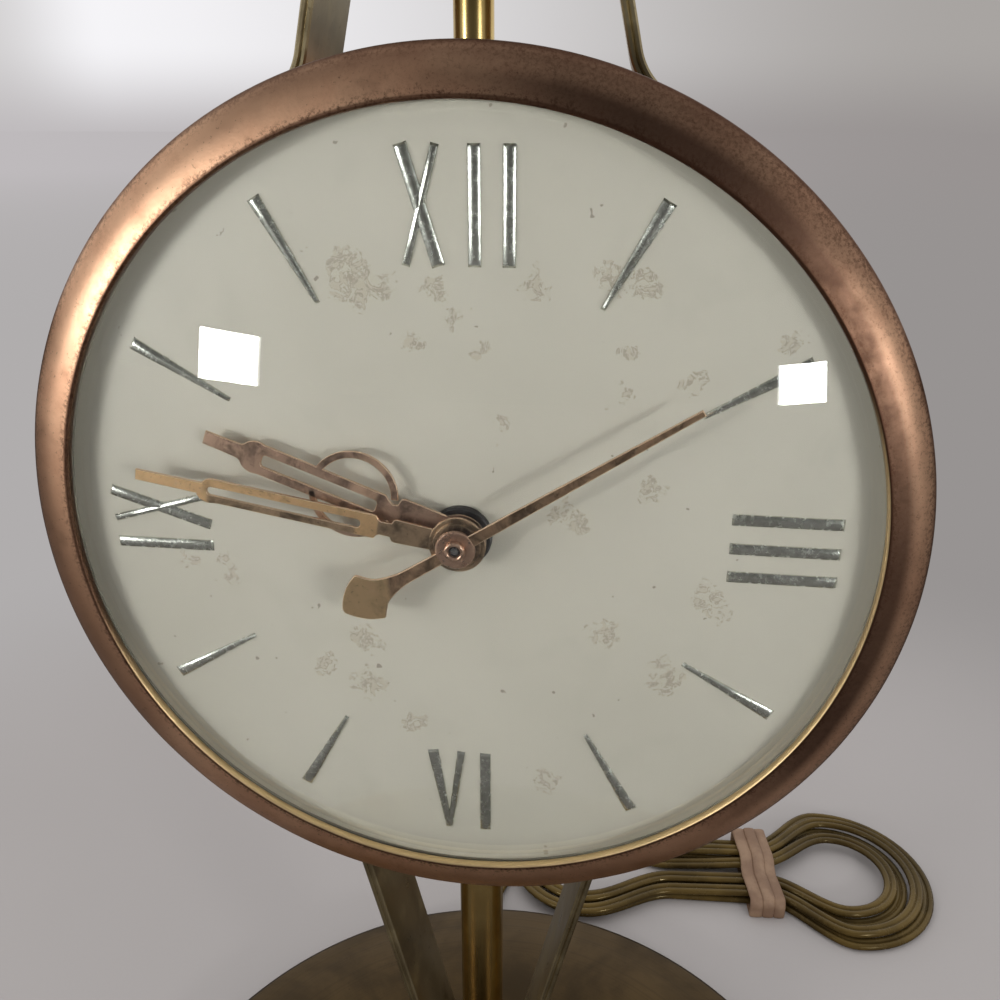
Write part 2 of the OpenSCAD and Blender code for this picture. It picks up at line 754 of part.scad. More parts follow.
module small_screws() {
    color(steel) {
        for (a = [90 : 120 : 330]) small_screw(drum_back_y + cover_t, cover_screw_r * [cos(a), sin(a)]);
        for (x = [-1, 1]) {
            small_screw(front_plate_y + plate_t, [x * bracket_screw_x, 0]);
            for (z = [-1, 1]) small_screw(back_plate_y + plate_t, [x * pillar_x, z * pillar_z]);
        }
    }
}

// Movement

module plate_outline(y_front) {
    translate([-plate_x, y_front, dial_h - plate_z]) cube([2 * plate_x, plate_t, 2 * plate_z]);
}

module front_plate() {
    color(brass) difference() {
        union() {
            plate_outline(dial_back_y);
            disc(front_plate_y, dial_y - bush_end_h, bush_r);
        }
        disc(front_plate_y + 1, dial_y - bush_end_h - 1, bush_bore_r);
        disc(front_plate_y + 1, dial_back_y - 1, arbor_r + running, third_pos);
        disc(front_plate_y + 1, dial_back_y - 1, shaft_r + running, setting_pos);
        for (x = [-1, 1])
            disc(front_plate_y + 1, dial_back_y - 1, small_r + running, [x * bracket_screw_x, 0]);
    }
}

module back_plate() {
    color(brass) difference() {
        plate_outline(back_plate_y);
        disc(back_plate_y + 3, back_plate_y - 1, arbor_r + running);
        disc(back_plate_y + 3, back_plate_y - 1, arbor_r + running, third_pos);
        disc(back_plate_y + 3, back_plate_y - 1, shaft_r + running, setting_pos);
        disc(back_plate_y + 3, back_plate_y - 1, 2.6, motor_pos);
        for (x = [-1, 1]) for (z = [-1, 1])
            disc(back_plate_y + 3, back_plate_y - 1, small_r + running, [x * pillar_x, z * pillar_z]);
    }
}

module pillars() {
    color(brass) for (x = [-1, 1]) for (z = [-1, 1]) difference() {
        disc(back_plate_y, front_plate_y, pillar_r, [x * pillar_x, z * pillar_z]);
        disc(back_plate_y + 1, back_plate_y - 3, pillar_bore_r, [x * pillar_x, z * pillar_z]);
    }
}

stator_y = back_plate_y + plate_t;

module stator_core() {
    arm_top = motor_pos[1] + 9;
    yoke_bottom = yoke_z - yoke_h / 2;
    color("dimgray") difference() {
        union() {
            for (x = [-arm_x - arm_w, arm_x]) translate([x, stator_y, dial_h + yoke_bottom])
                cube([arm_w, stator_t, arm_top - yoke_bottom]);
            translate([-arm_x - arm_w, stator_y, dial_h + yoke_bottom])
                cube([2 * (arm_x + arm_w), stator_t, yoke_h]);
        }
        disc(stator_y + stator_t + 1, stator_y - 1, rotor_r + 0.3, motor_pos);
    }
}

module stator_coil() {
    coil_y = stator_y + stator_t / 2;
    color([0.5, 0.22, 0.12]) difference() {
        translate([-coil_l / 2, coil_y, dial_h + yoke_z]) rotate([0, 90, 0]) cylinder(h = coil_l, r = coil_r);
        translate([-coil_l / 2 - 1, stator_y - 0.2, dial_h + yoke_z - yoke_h / 2 - 0.2])
            cube([coil_l + 2, stator_t + 0.4, yoke_h + 0.4]);
    }
}

module coil_leads() {
    coil_y = stator_y + stator_t / 2;
    bend_z = drum_bottom + 10;
    lead_r = 0.65;
    splice_r = 0.85;
    lead_gap = 0.06;
    color("goldenrod") for (x = [-1.3, 1.3]) {
        translate([x, coil_y, bend_z]) cylinder(h = dial_h + yoke_z - coil_r - lead_gap - bend_z, r = lead_r);
        translate([x, relief_y + 1, bend_z]) rotate([90, 0, 0])
            cylinder(h = relief_y + 2 - coil_y, r = splice_r);
        translate([x, relief_y, relief_top + lead_gap]) cylinder(h = bend_z - relief_top - lead_gap, r = lead_r);
    }
}

module rotor_unit() {
    color(brass) {
        disc(stator_y + rotor_l, stator_y, rotor_r, motor_pos);
        disc(stator_y, back_plate_y, 2.4, motor_pos);
    }
}

module motor_pinion() {
    color(steel) {
        on_dial(layer_seconds + pinion_t / 2, motor_pos)
            linear_extrude(pinion_t) gear_outline(motor_pinion_n, seconds_module, 90 + 180 / motor_pinion_n);
        disc(back_plate_y - 0.1, layer_seconds, 0.8, motor_pos);
    }
}

module seconds_arbor() {
    color(steel) {
        disc(back_plate_y + plate_t - 0.1, dial_y - second_pipe_end_h + 0.6, arbor_r);
        on_dial(layer_third + pinion_t / 2) linear_extrude(pinion_t)
            gear_outline(seconds_pinion_n, third_module, third_angle + 180 / seconds_pinion_n);
        disc(back_plate_y - 0.2, layer_third, 1);
    }
}

module seconds_wheel() {
    color(brass) gear(seconds_wheel_n, seconds_module, 270, layer_seconds, wheel_t, [0, 0], 1 + running / 2);
}

module third_wheel() {
    color(brass) union() {
        disc(back_plate_y + plate_t - 0.1, front_plate_y - plate_t + 0.1, arbor_r, third_pos);
        disc(back_plate_y - 0.2, front_plate_y + 0.2, 0.8, third_pos);
        on_dial(layer_third + wheel_t / 2, third_pos) linear_extrude(wheel_t)
            gear_outline(third_wheel_n, third_module, third_angle + 180);
        on_dial(layer_centre + pinion_t / 2, third_pos) linear_extrude(pinion_t)
            gear_outline(third_pinion_n, centre_module, third_angle + 180 + 180 / third_pinion_n);
    }
}

module centre_wheel() {
    color(brass) {
        gear(centre_wheel_n, centre_module, third_angle, layer_centre, wheel_t, [0, 0],
            minute_pipe_r + running);
    }
}

module cannon_pinion() {
    color(steel) difference() {
        union() {
            disc(layer_centre + 1.4, dial_y - minute_pipe_end_h, minute_pipe_r);
            on_dial(layer_minute + pinion_t / 2) linear_extrude(pinion_t)
                gear_outline(cannon_n, cannon_module, setting_angle + 180 / cannon_n);
            disc(layer_centre + 1.4, layer_centre + wheel_t / 2 + running, 2);
        }
        disc(layer_centre + 3, dial_y - minute_pipe_end_h - 1, minute_bore_r);
    }
}

module hour_wheel() {
    color(brass) difference() {
        union() {
            disc(layer_hour + wheel_t / 2, dial_y - hour_pipe_end_h, hour_pipe_r);
            on_dial(layer_hour + wheel_t / 2) linear_extrude(wheel_t)
                gear_outline(hour_wheel_n, hour_module, setting_angle);
        }
        disc(layer_hour + 3, dial_y - hour_pipe_end_h - 1, hour_bore_r);
    }
}

module minute_wheel() {
    color(brass) gear(minute_wheel_n, cannon_module, setting_angle + 180, layer_minute, wheel_t,
        setting_pos, shaft_r + running / 2);
}

module setting_shaft() {
    color(steel) {
        disc(drum_back_y + cover_raise + cover_t + knob_l - 1, front_plate_y - plate_t + 0.1, shaft_r,
            setting_pos);
        on_dial(layer_hour + pinion_t / 2, setting_pos) linear_extrude(pinion_t)
            gear_outline(minute_pinion_n, hour_module, setting_angle + 180 + 180 / minute_pinion_n);
    }
}

module setting_knob() {
    knob_y = drum_back_y + cover_raise + cover_t + 1;
    flutes = 20;
    color(black) on_dial(knob_y + knob_l, setting_pos) difference() {
        union() {
            linear_extrude(knob_l - 1) polygon([for (i = [0 : 2 * flutes - 1])
                (knob_d / 2 - (i % 2) * 0.5) * [cos(i * 180 / flutes), sin(i * 180 / flutes)]]);
            cylinder(h = knob_l, r = knob_d / 2 - 1.5);
        }
        translate([0, 0, 2]) cylinder(h = knob_l, r = shaft_r + running / 2);
    }
}

// Hands, drawn pointing up and turned to their rest angles

module hand(h, angle, t = hand_t) {
    on_dial(dial_y - h) rotate(-angle) linear_extrude(t) children();
}

module mirrored_outline(right) {
    polygon(concat(right, [for (i = [len(right) - 1 : -1 : 0]) [-right[i][0], right[i][1]]]));
}

module hour_hand() {
    slot_in = 14;
    slot_out = hour_reach - 10;
    ring_y = 19;
    ring_out = 7.4;
    ring_in = 6.1;
    bar_in = 0.9;
    bar_out = 2.6;
    color([0.42, 0.3, 0.24]) difference() {
        hand(hour_h, hour_angle) union() {
            circle(r = 4.6);
            mirrored_outline([[2.3, 3], [1.8, slot_in - 2], [bar_out, slot_in - 1.4], [bar_out, slot_in]]);
            for (x = [bar_in, -bar_out]) translate([x, slot_in - 0.5])
                square([bar_out - bar_in, slot_out - slot_in + 1]);
            mirrored_outline([[bar_out, slot_out], [bar_out + 0.2, slot_out + 1.6],
                [1.3, slot_out + 4], [1.2, hour_reach]]);
            translate([0, ring_y]) difference() {
                circle(r = ring_out);
                circle(r = ring_in);
            }
        }
        disc(dial_y + 1, dial_y - 10, hour_pipe_r + running / 2);
    }
}

module minute_hand() {
    slot_in = 15.6;
    slot_out = minute_reach - 13;
    bar_in = 1.05;
    bar_out = 2.5;
    color([0.72, 0.55, 0.38]) difference() {
        union() {
            hand(minute_h, minute_angle) union() {
                circle(r = 5.2);
                mirrored_outline([[2, 4], [2.35, 10.2], [1.2, 11], [1.2, 13.2], [bar_out, 13.7],
                    [bar_out, slot_in]]);
                for (x = [bar_in, -bar_out]) translate([x, slot_in - 0.5])
                    square([bar_out - bar_in, slot_out - slot_in + 1]);
                mirrored_outline([[bar_out, slot_out], [1.4, slot_out + 1.2], [1, slot_out + 2.4],
                    [1, minute_reach]]);
                translate([0, slot_out + 1]) circle(r = 1.7);
            }
            hand(minute_h + hand_t, minute_angle, 0.6) circle(r = 3.8);
        }
        disc(dial_y + 1, dial_y - 10, minute_pipe_r + running / 2);
    }
}

module second_hand() {
    color([0.55, 0.4, 0.3]) difference() {
        union() {
            hand(second_h, second_angle) union() {
                circle(r = 3.3);
                mirrored_outline([[0.75, 0], [0.5, second_reach]]);
                mirrored_outline([[0.8, -1], [0.95, -12], [1.6, -13.2], [2.8, -15.2], [4.4, -17.2],
                    [4.1, -19], [3.2, -21], [1.8, -22.4], [0.6, -23]]);
            }
            disc(dial_y - second_h + 0.4, dial_y - second_pipe_end_h, 1.6);
        }
        disc(dial_y - second_h + 1, dial_y - second_pipe_end_h + 0.5, arbor_r + running / 2);
        disc(dial_y - second_h - 1, dial_y - second_pipe_end_h - 1, 0.9 * arbor_r);
    }
}

// Scales

module fulcrum() {
    color(brass) difference() {
        translate([0, 0, top_hub_top]) union() {
            cylinder(h = block_top - top_hub_top, r = block_r);
            cylinder(h = 2, r = block_r + 1.5);
        }
        translate([-block_r - 2, -slot_y, pivot_z - slot_half])
            cube([2 * block_r + 4, 2 * slot_y, 2 * slot_half]);
        translate([0, 0, top_hub_top - 1]) cylinder(h = block_base_h - 1, r = rod_d / 2 + running);
        translate([0, 0, block_top - block_cap_h + 1]) cylinder(h = block_cap_h, r = 2 + running);
        translate([0, block_r + 2, pivot_z]) rotate([90, 0, 0])
            cylinder(h = 2 * block_r + 4, r = pin_r + running);
    }
}

module beam_pin() {
    color(steel) {
        translate([0, block_r + 0.8, pivot_z]) rotate([90, 0, 0]) cylinder(h = 2 * block_r + 1.6, r = pin_r);
    }
}

module finial() {
    z = block_top;
    s = finial_h / 24;
    color(brass) rotate_extrude() polygon(concat(
        [[0, z - block_cap_h + 2], [2, z - block_cap_h + 2], [2, z], [6.5, z], [6.5, z + 1.6 * s],
         [3, z + 2.8 * s], [2.4, z + 4 * s]],
        [for (a = [-55 : 10 : 65]) [5 * cos(a), z + s * (8.6 + 5 * sin(a))]],
        [[1.7, z + 14.4 * s], [0.9, z + 20 * s], [0.5, z + finial_h], [0, z + finial_h]]));
}

function beam_z(x) = pivot_z - beam_drop * pow(x / beam_half, 2) + beam_arch * sin(180 * abs(x) / beam_half);
function beam_half_h(x) = beam_mid_h / 2 + (beam_end_h - beam_mid_h) / 2 * abs(x) / beam_half;

module beam() {
    n = 22;
    xs = [for (i = [-n : n]) beam_half * i / n];
    color(brass) difference() {
        translate([0, beam_t / 2, 0]) rotate([90, 0, 0]) linear_extrude(beam_t) union() {
            polygon(concat([for (x = xs) [x, beam_z(x) - beam_half_h(x)]],
                [for (i = [len(xs) - 1 : -1 : 0]) [xs[i], beam_z(xs[i]) + beam_half_h(xs[i])]]));
            for (s = [-1, 1]) translate([s * beam_half, eye_z]) circle(r = eye_r);
        }
        translate([0, 5, pivot_z]) rotate([90, 0, 0]) cylinder(h = 10, r = pin_r + running);
        for (s = [-1, 1]) translate([s * beam_half, 5, eye_z]) rotate([90, 0, 0])
            cylinder(h = 10, r = eye_bore_r);
    }
}

// Wire ring whose lowest wire is centred at z; upright, seen edge-on from the front or face-on
module wire_ring(x, z, r, edge_on) {
    translate([x, 0, z + r]) rotate([90, 0, edge_on ? 90 : 0]) rotate_extrude($fn = 48)
        translate([r, 0]) circle(r = ring_wire / 2, $fn = 20);
}

module link(side) {
    wire_ring(side * beam_half, link_bottom_z, ring_r, true);
}

module hook(side) {
    wire_ring(side * beam_half, hook_bottom_z, ring_r, false);
}

module left_link() {
    color(brass) link(-1);
}

module right_link() {
    color(brass) link(1);
}

module left_hook() {
    color(brass) hook(-1);
}

module right_hook() {
    color(brass) hook(1);
}

// One long link of round wire along -Z from the origin, which is its upper wire's centre
module chain_link() {
    l = link_in_l + chain_wire - 2 * link_half_w;
    for (s = [0, 1]) translate([0, 0, -link_half_w - s * l]) rotate([90, 0, 0]) rotate([0, 0, 180 * s])
        rotate_extrude(angle = 180, $fn = 32) translate([link_half_w, 0])
        circle(r = chain_wire / 2, $fn = 16);
    for (x = [-1, 1]) translate([x * link_half_w, 0, -link_half_w - l])
        cylinder(h = l, r = chain_wire / 2, $fn = 16);
}

module chain() {
    translate([chain_top_r, 0, chain_top_z]) rotate([0, -chain_tilt, 0])
        for (i = [0 : chain_links - 1]) translate([0, 0, -i * chain_pitch]) rotate([0, 0, 90 * (i % 2)])
            chain_link();
}

module chains(side) {
    wire_ring(side * beam_half, hanger_bottom_z, hanger_r, true);
    translate([side * beam_half, 0, 0]) {
        translate([0, 0, plate_z_top]) cylinder(h = hanger_bottom_z - plate_z_top, r = 1.1);
        difference() {
            translate([0, 0, plate_z_top - hang_plate_t]) cylinder(h = hang_plate_t, r = chain_top_r + 0.9);
            for (a = [90 : 120 : 330]) rotate(a) translate([chain_top_r - link_half_w, 0, plate_z_top - 3])
                cylinder(h = 5, r = chain_hole_r);
        }
        for (a = [90 : 120 : 330]) rotate(a) chain();
    }
}

module left_chains() {
    color(brass) chains(-1);
}

module right_chains() {
    color(brass) chains(1);
}

module pan(side) {
    bowl_sphere_r = (pow(bowl_r, 2) + pow(pan_depth, 2)) / (2 * pan_depth);
    n = 14;
    function bowl_z(r, rr, depth) = rim_z - depth + rr - sqrt(pow(rr, 2) - pow(r, 2));
    inner_r = bowl_r - pan_t;
    inner_depth = pan_depth - pan_t;
    inner_sphere_r = (pow(inner_r, 2) + pow(inner_depth, 2)) / (2 * inner_depth);
    translate([side * beam_half, 0, 0]) difference() {
        rotate_extrude($fn = 96) polygon(concat(
            [for (i = [0 : n]) let (r = bowl_r * i / n) [r, bowl_z(r, bowl_sphere_r, pan_depth) - 0.001 * i]],
            [[bowl_r, rim_z - pan_t], [pan_r, rim_z - pan_t], [pan_r, rim_z]],
            [for (i = [n : -1 : 0]) let (r = inner_r * i / n) [r, bowl_z(r, inner_sphere_r, inner_depth)]]));
        for (a = [90 : 120 : 330]) rotate(a) translate([pan_hole_r, 0, rim_z - 3])
            cylinder(h = 6, r = chain_hole_r);
    }
}

module left_pan() {
    color(copper) pan(-1);
}

module right_pan() {
    color(copper) pan(1);
}

// Cord

module strain_relief() {
    color(black) translate([0, relief_y, 0]) difference() {
        union() {
            translate([0, 0, drum_bottom - relief_neck_gap])
                cylinder(h = relief_top - drum_bottom + relief_neck_gap, r = relief_r - running);
            translate([0, 0, drum_bottom - relief_flange_t])
                cylinder(h = relief_flange_t - relief_neck_gap, r = relief_flange_r);
            translate([0, 0, cord_exit_z]) cylinder(h = relief_l, r1 = relief_tip_r, r2 = relief_r);
        }
    }
}

// Ring of a flat cord at a point, across its run; the width lies along the given side
function cord_ring(p, dir, side, n) = let (w = unit(side - (side * dir) * dir), u = cross(w, dir))
    [for (k = [0 : n - 1]) p + cord_w / 2 * cos(360 * k / n) * w + cord_t / 2 * sin(360 * k / n) * u];

module cord_tube(rings) {
    m = len(rings);
    n = len(rings[0]);
    points = [for (r = rings) each r];
    polyhedron(points, concat(
        [for (k = [1 : n - 2]) [0, k + 1, k]],
        [for (k = [1 : n - 2]) [(m - 1) * n, (m - 1) * n + k, (m - 1) * n + k + 1]],
        [for (i = [0 : m - 2]) for (k = [0 : n - 1]) let (a = i * n + k, b = i * n + (k + 1) % n)
            each [[a, b, a + n], [b, b + n, a + n]]]));
}

function heading(points, i) = unit(points[min(i + 1, len(points) - 1)] - points[max(i - 1, 0)]);

module cord_drop() {
    n = len(drop_points);
    last = unit(hank_path[1] - hank_path[0]);
    color("darkkhaki") cord_tube([for (i = [0 : n])
        i == n ? cord_ring(hank_path[0], last, cross(last, [0, 0, 1]), 8)
        : cord_ring(drop_points[i], i == 0 ? [0, 0, -1] : heading(concat(drop_points, [hank_path[0]]), i),
            [1, 0, 0], 8)]);
}

// The hank in its own plan, u along it and v across it. One turn starts at the left fold's far
// point, runs out along the upper side, round the right fold and back along the lower side.
function ease(k) = (1 - cos(180 * min(max(k, 0), 1))) / 2;
function run_v(u, left, right, waist) = waist
    + (left - waist) * ease((-u - hank_left + left_ramp) / left_ramp)
    + (right - waist) * ease((u - hank_right + right_ramp) / right_ramp);
quarter = 0.09;
run_share = 0.31;
function hank_plan(t, index) = let (
    f = t - floor(t),
    left = left_fold_r + index * loop_step,
    right = right_fold_r + index * right_step,
    waist = waist_half + index * loop_step,
    span = hank_left + hank_right)
    f < quarter ? let (a = 180 - 90 * f / quarter) [-hank_left + left * cos(a), left * sin(a)]
    : f < quarter + run_share ? let (u = -hank_left + span * (f - quarter) / run_share)
        [u, run_v(u, left, right, waist)]
    : f < 1 - quarter - run_share ? let (a = 90 - 180 * (f - quarter - run_share)
        / (1 - 2 * quarter - 2 * run_share)) [hank_right + right * cos(a), right * sin(a)]
    : f < 1 - quarter ? let (u = hank_right - span * (f - 1 + quarter + run_share) / run_share)
        [u, -run_v(u, left, right, waist)]
    : let (a = 270 - 90 * (f - 1 + quarter) / quarter) [-hank_left + left * cos(a), left * sin(a)];
function place(u, v, z) = [
    hank_centre[0] + u * cos(hank_turn) - v * sin(hank_turn),
    hank_centre[1] + u * sin(hank_turn) + v * cos(hank_turn), z];
function loop_point(t) = let (p = hank_plan(t, abs(t - turn_back)))
    place(p[0], p[1], floor_z + layer_step * ease((t - turn_back + climb_span / 2) / climb_span));
// The tail leaves the left fold backwards and bends round to the plug
tail_u = -hank_left - left_fold_r - (hank_turns - turn_back) * loop_step;
tail_centre = [tail_u + tail_bend_r, plug_v - tail_bend_r];
plug_z = plug_t / 2 + 0.05;
tail_z = floor_z + layer_step;
tail_path = concat(
    [for (k = [1 : 3]) place(tail_u, tail_centre[1] * k / 3, tail_z)],
    [for (a = [157.5 : -22.5 : 90]) place(tail_centre[0] + tail_bend_r * cos(a),
        tail_centre[1] + tail_bend_r * sin(a), tail_z + (plug_z - tail_z) * (180 - a) / 90)],
    [place(plug_u, plug_v, plug_z)]);
hank_path = concat([for (i = [0 : rings_per_turn * hank_turns]) loop_point(i / rings_per_turn)],
    tail_path);
hank_rings = [for (i = [0 : len(hank_path) - 1]) let (d = heading(hank_path, i))
    cord_ring(hank_path[i], d, cross(d, [0, 0, 1]), 6)];

// Least gap between strands: each point of the path against the stretches that aren't its neighbours
near_rings = 4;
function nearest(p, a, b) = a + max(0, min(1, ((p - a) * (b - a)) / ((b - a) * (b - a)))) * (b - a);
function strand_gap(d) = max(norm([d[0], d[1]]) - cord_w, abs(d[2]) - cord_t);
hank_gap = min([for (i = [0 : len(hank_path) - 1]) for (j = [0 : len(hank_path) - 2])
    if (abs(i - j) > near_rings)
        strand_gap(hank_path[i] - nearest(hank_path[i], hank_path[j], hank_path[j + 1]))]);
function path_length(p, i = 0) = i >= len(p) - 1 ? 0 : norm(p[i + 1] - p[i]) + path_length(p, i + 1);
echo(hank_least_gap = hank_gap, hank_length = path_length(hank_path),
    drop_length = path_length(concat(drop_points, [hank_path[0]])));

module cord_hank() {
    color("darkkhaki") cord_tube(hank_rings);
}

// Rubber band drawn round the hank's waist
band_clear = 0.35;
band_side_clear = 1.45;
band_t = 1.1;
band_u = hank_right - right_ramp - 8;

module cord_band() {
    half = waist_half + (turn_back - quarter) * loop_step + cord_w / 2 + band_side_clear;
    top = floor_z + layer_step + cord_t / 2 + band_clear;
    color([0.75, 0.58, 0.48]) translate([hank_centre[0], hank_centre[1], 0]) rotate([0, 0, hank_turn])
        translate([band_u, 0, 0]) rotate([90, 0, 90]) linear_extrude(band_w) difference() {
            translate([-half - band_t, 0]) square([2 * (half + band_t), top + band_t]);
            translate([-half, -1]) square([2 * half, top + 1]);
        }
}

module plug() {
    color([0.25, 0.18, 0.12]) translate([hank_centre[0], hank_centre[1], 0]) rotate([0, 0, hank_turn])
        translate([plug_u, plug_v, 0]) {
            translate([0, 0, plug_z]) rotate([0, 90, 0]) cylinder(h = 12, r1 = 4.2, r2 = 7);
            translate([10, -plug_w / 2, 0.05]) cube([plug_l - 10, plug_w, plug_t]);
            for (s = [-1, 1]) translate([plug_l, s * 6.35 - 0.75, plug_z - 3.2]) cube([17, 1.5, 6.4]);
        }
}

base_felt();
base_dish();
base_weight();
foot_hub();
lower_column();
lower_tie_rod();
upper_column();
upper_tie_rod();
rod_nuts();
top_hub();
left_strap();
right_strap();
strap_screws();
case_drum();
bezel();
glass();
dial_ring();
dial();
hour_marks();
mount_brackets();
rear_cover();
small_screws();
front_plate();
back_plate();
pillars();
dial_nut();
stator_core();
stator_coil();
coil_leads();
rotor_unit();
motor_pinion();
seconds_arbor();
seconds_wheel();
second_hand();
third_wheel();
centre_wheel();
cannon_pinion();
minute_hand();
hour_wheel();
hour_hand();
minute_wheel();
setting_shaft();
setting_knob();
fulcrum();
beam_pin();
finial();
beam();
left_link();
right_link();
left_hook();
right_hook();
left_chains();
right_chains();
left_pan();
right_pan();
strain_relief();
cord_drop();
cord_hank();
cord_band();
plug();
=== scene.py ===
"""Looks of the scales of justice clock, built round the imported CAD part."""
import json
import math

import bmesh
import bpy
from mathutils import Matrix, Vector, geometry, noise


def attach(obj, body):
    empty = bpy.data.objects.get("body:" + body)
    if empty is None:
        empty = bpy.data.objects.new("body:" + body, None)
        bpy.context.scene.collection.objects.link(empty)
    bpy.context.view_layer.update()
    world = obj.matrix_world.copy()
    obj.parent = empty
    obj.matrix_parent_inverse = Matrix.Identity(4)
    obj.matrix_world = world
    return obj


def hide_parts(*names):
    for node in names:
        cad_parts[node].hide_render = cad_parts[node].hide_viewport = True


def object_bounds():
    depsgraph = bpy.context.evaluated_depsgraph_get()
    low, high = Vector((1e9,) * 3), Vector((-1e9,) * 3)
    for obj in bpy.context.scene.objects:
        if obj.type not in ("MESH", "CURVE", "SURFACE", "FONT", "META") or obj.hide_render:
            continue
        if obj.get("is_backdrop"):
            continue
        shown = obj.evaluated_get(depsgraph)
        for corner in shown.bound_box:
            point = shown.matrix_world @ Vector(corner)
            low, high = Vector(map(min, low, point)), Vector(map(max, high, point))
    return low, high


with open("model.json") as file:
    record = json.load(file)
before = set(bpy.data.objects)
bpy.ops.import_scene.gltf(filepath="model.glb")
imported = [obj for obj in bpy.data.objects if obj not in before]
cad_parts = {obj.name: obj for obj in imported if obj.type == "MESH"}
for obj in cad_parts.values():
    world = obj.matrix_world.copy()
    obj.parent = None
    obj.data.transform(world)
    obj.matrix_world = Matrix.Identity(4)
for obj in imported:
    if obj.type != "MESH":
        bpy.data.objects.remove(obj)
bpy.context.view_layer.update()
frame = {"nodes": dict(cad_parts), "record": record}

MM = 0.001
DIAL_H = 212.0
DIAL_Y = -18.0
BASE_R = 101.5
PAN_X = 152.5
DIAL_AT = (0.0, DIAL_Y * MM, DIAL_H * MM)


def polar(r, degrees, cx=0.0, cy=0.0):
    """A place at a distance and an angle from a centre."""
    a = math.radians(degrees)
    return cx + r * math.cos(a), cy + r * math.sin(a)


# ---- camera
CAMERA_AT = Vector((25.125, -160.0, 276.3))
RIGHT = Vector((0.99147, 0.13036, 0.00032))
DOWN = Vector((0.04912, -0.37132, -0.92721))
AHEAD = Vector((-0.12075, 0.91931, -0.37455))
FOCAL_PX, FRAME_PX, SENSOR = 935.0, 1000.0, 36.0

cam_data = bpy.data.cameras.new("camera")
cam_data.sensor_width = SENSOR
cam_data.lens = SENSOR * FOCAL_PX / FRAME_PX
cam_data.clip_start = 0.01
cam_data.clip_end = 50.0
camera = bpy.data.objects.new("camera", cam_data)
bpy.context.collection.objects.link(camera)
turn = Matrix((RIGHT, -DOWN, -AHEAD)).transposed()
camera.matrix_world = Matrix.Translation(CAMERA_AT * MM) @ turn.to_4x4()
bpy.context.scene.camera = camera


# ---- materials
def linear(rgb):
    """A colour written as 0-255 screen values, as the renderer's linear one."""
    levels = [v / 255.0 for v in rgb]
    return (*(v / 12.92 if v <= 0.04045 else ((v + 0.055) / 1.055) ** 2.4 for v in levels), 1.0)


def scaled(rgb, factor):
    return tuple(v * factor for v in rgb)


class Nodes:
    """Short calls for a node tree; a colour may be given as three 0-255 screen values."""

    def __init__(self, tree):
        self.tree = tree

    def add(self, kind, **settings):
        node = self.tree.nodes.new(kind)
        for key, value in settings.items():
            setattr(node, key, value)
        return node

    def put(self, value, socket):
        if isinstance(value, bpy.types.NodeSocket):
            self.tree.links.new(value, socket)
        elif socket.type == "RGBA" and len(value) == 3:
            socket.default_value = linear(value)
        else:
            socket.default_value = value

    def split(self, vector):
        node = self.add("ShaderNodeSeparateXYZ")
        self.put(vector, node.inputs[0])
        return node.outputs

    def mask(self, value, low, high, top=1.0, floor=0.0):
        """A smooth step from floor to top while the value goes from low to high."""
        node = self.add("ShaderNodeMapRange", interpolation_type="SMOOTHSTEP", clamp=True)
        self.put(value, node.inputs["Value"])
        for key, number in (("From Min", low), ("From Max", high), ("To Min", floor), ("To Max", top)):
            node.inputs[key].default_value = number
        return node.outputs["Result"]

    def calc(self, operation, a, b):
        node = self.add("ShaderNodeMath", operation=operation)
        self.put(a, node.inputs[0])
        self.put(b, node.inputs[1])
        return node.outputs[0]

    def times(self, a, b):
        return self.calc("MULTIPLY", a, b)

    def mix(self, share, a, b):
        node = self.add("ShaderNodeMix", data_type="RGBA")
        for value, index in ((share, 0), (a, 6), (b, 7)):
            self.put(value, node.inputs[index])
        return node.outputs[2]

    def coat(self, base, *layers):
        """A colour with layers over it, each a share and a colour."""
        for share, colour in layers:
            base = self.mix(share, base, colour)
        return base


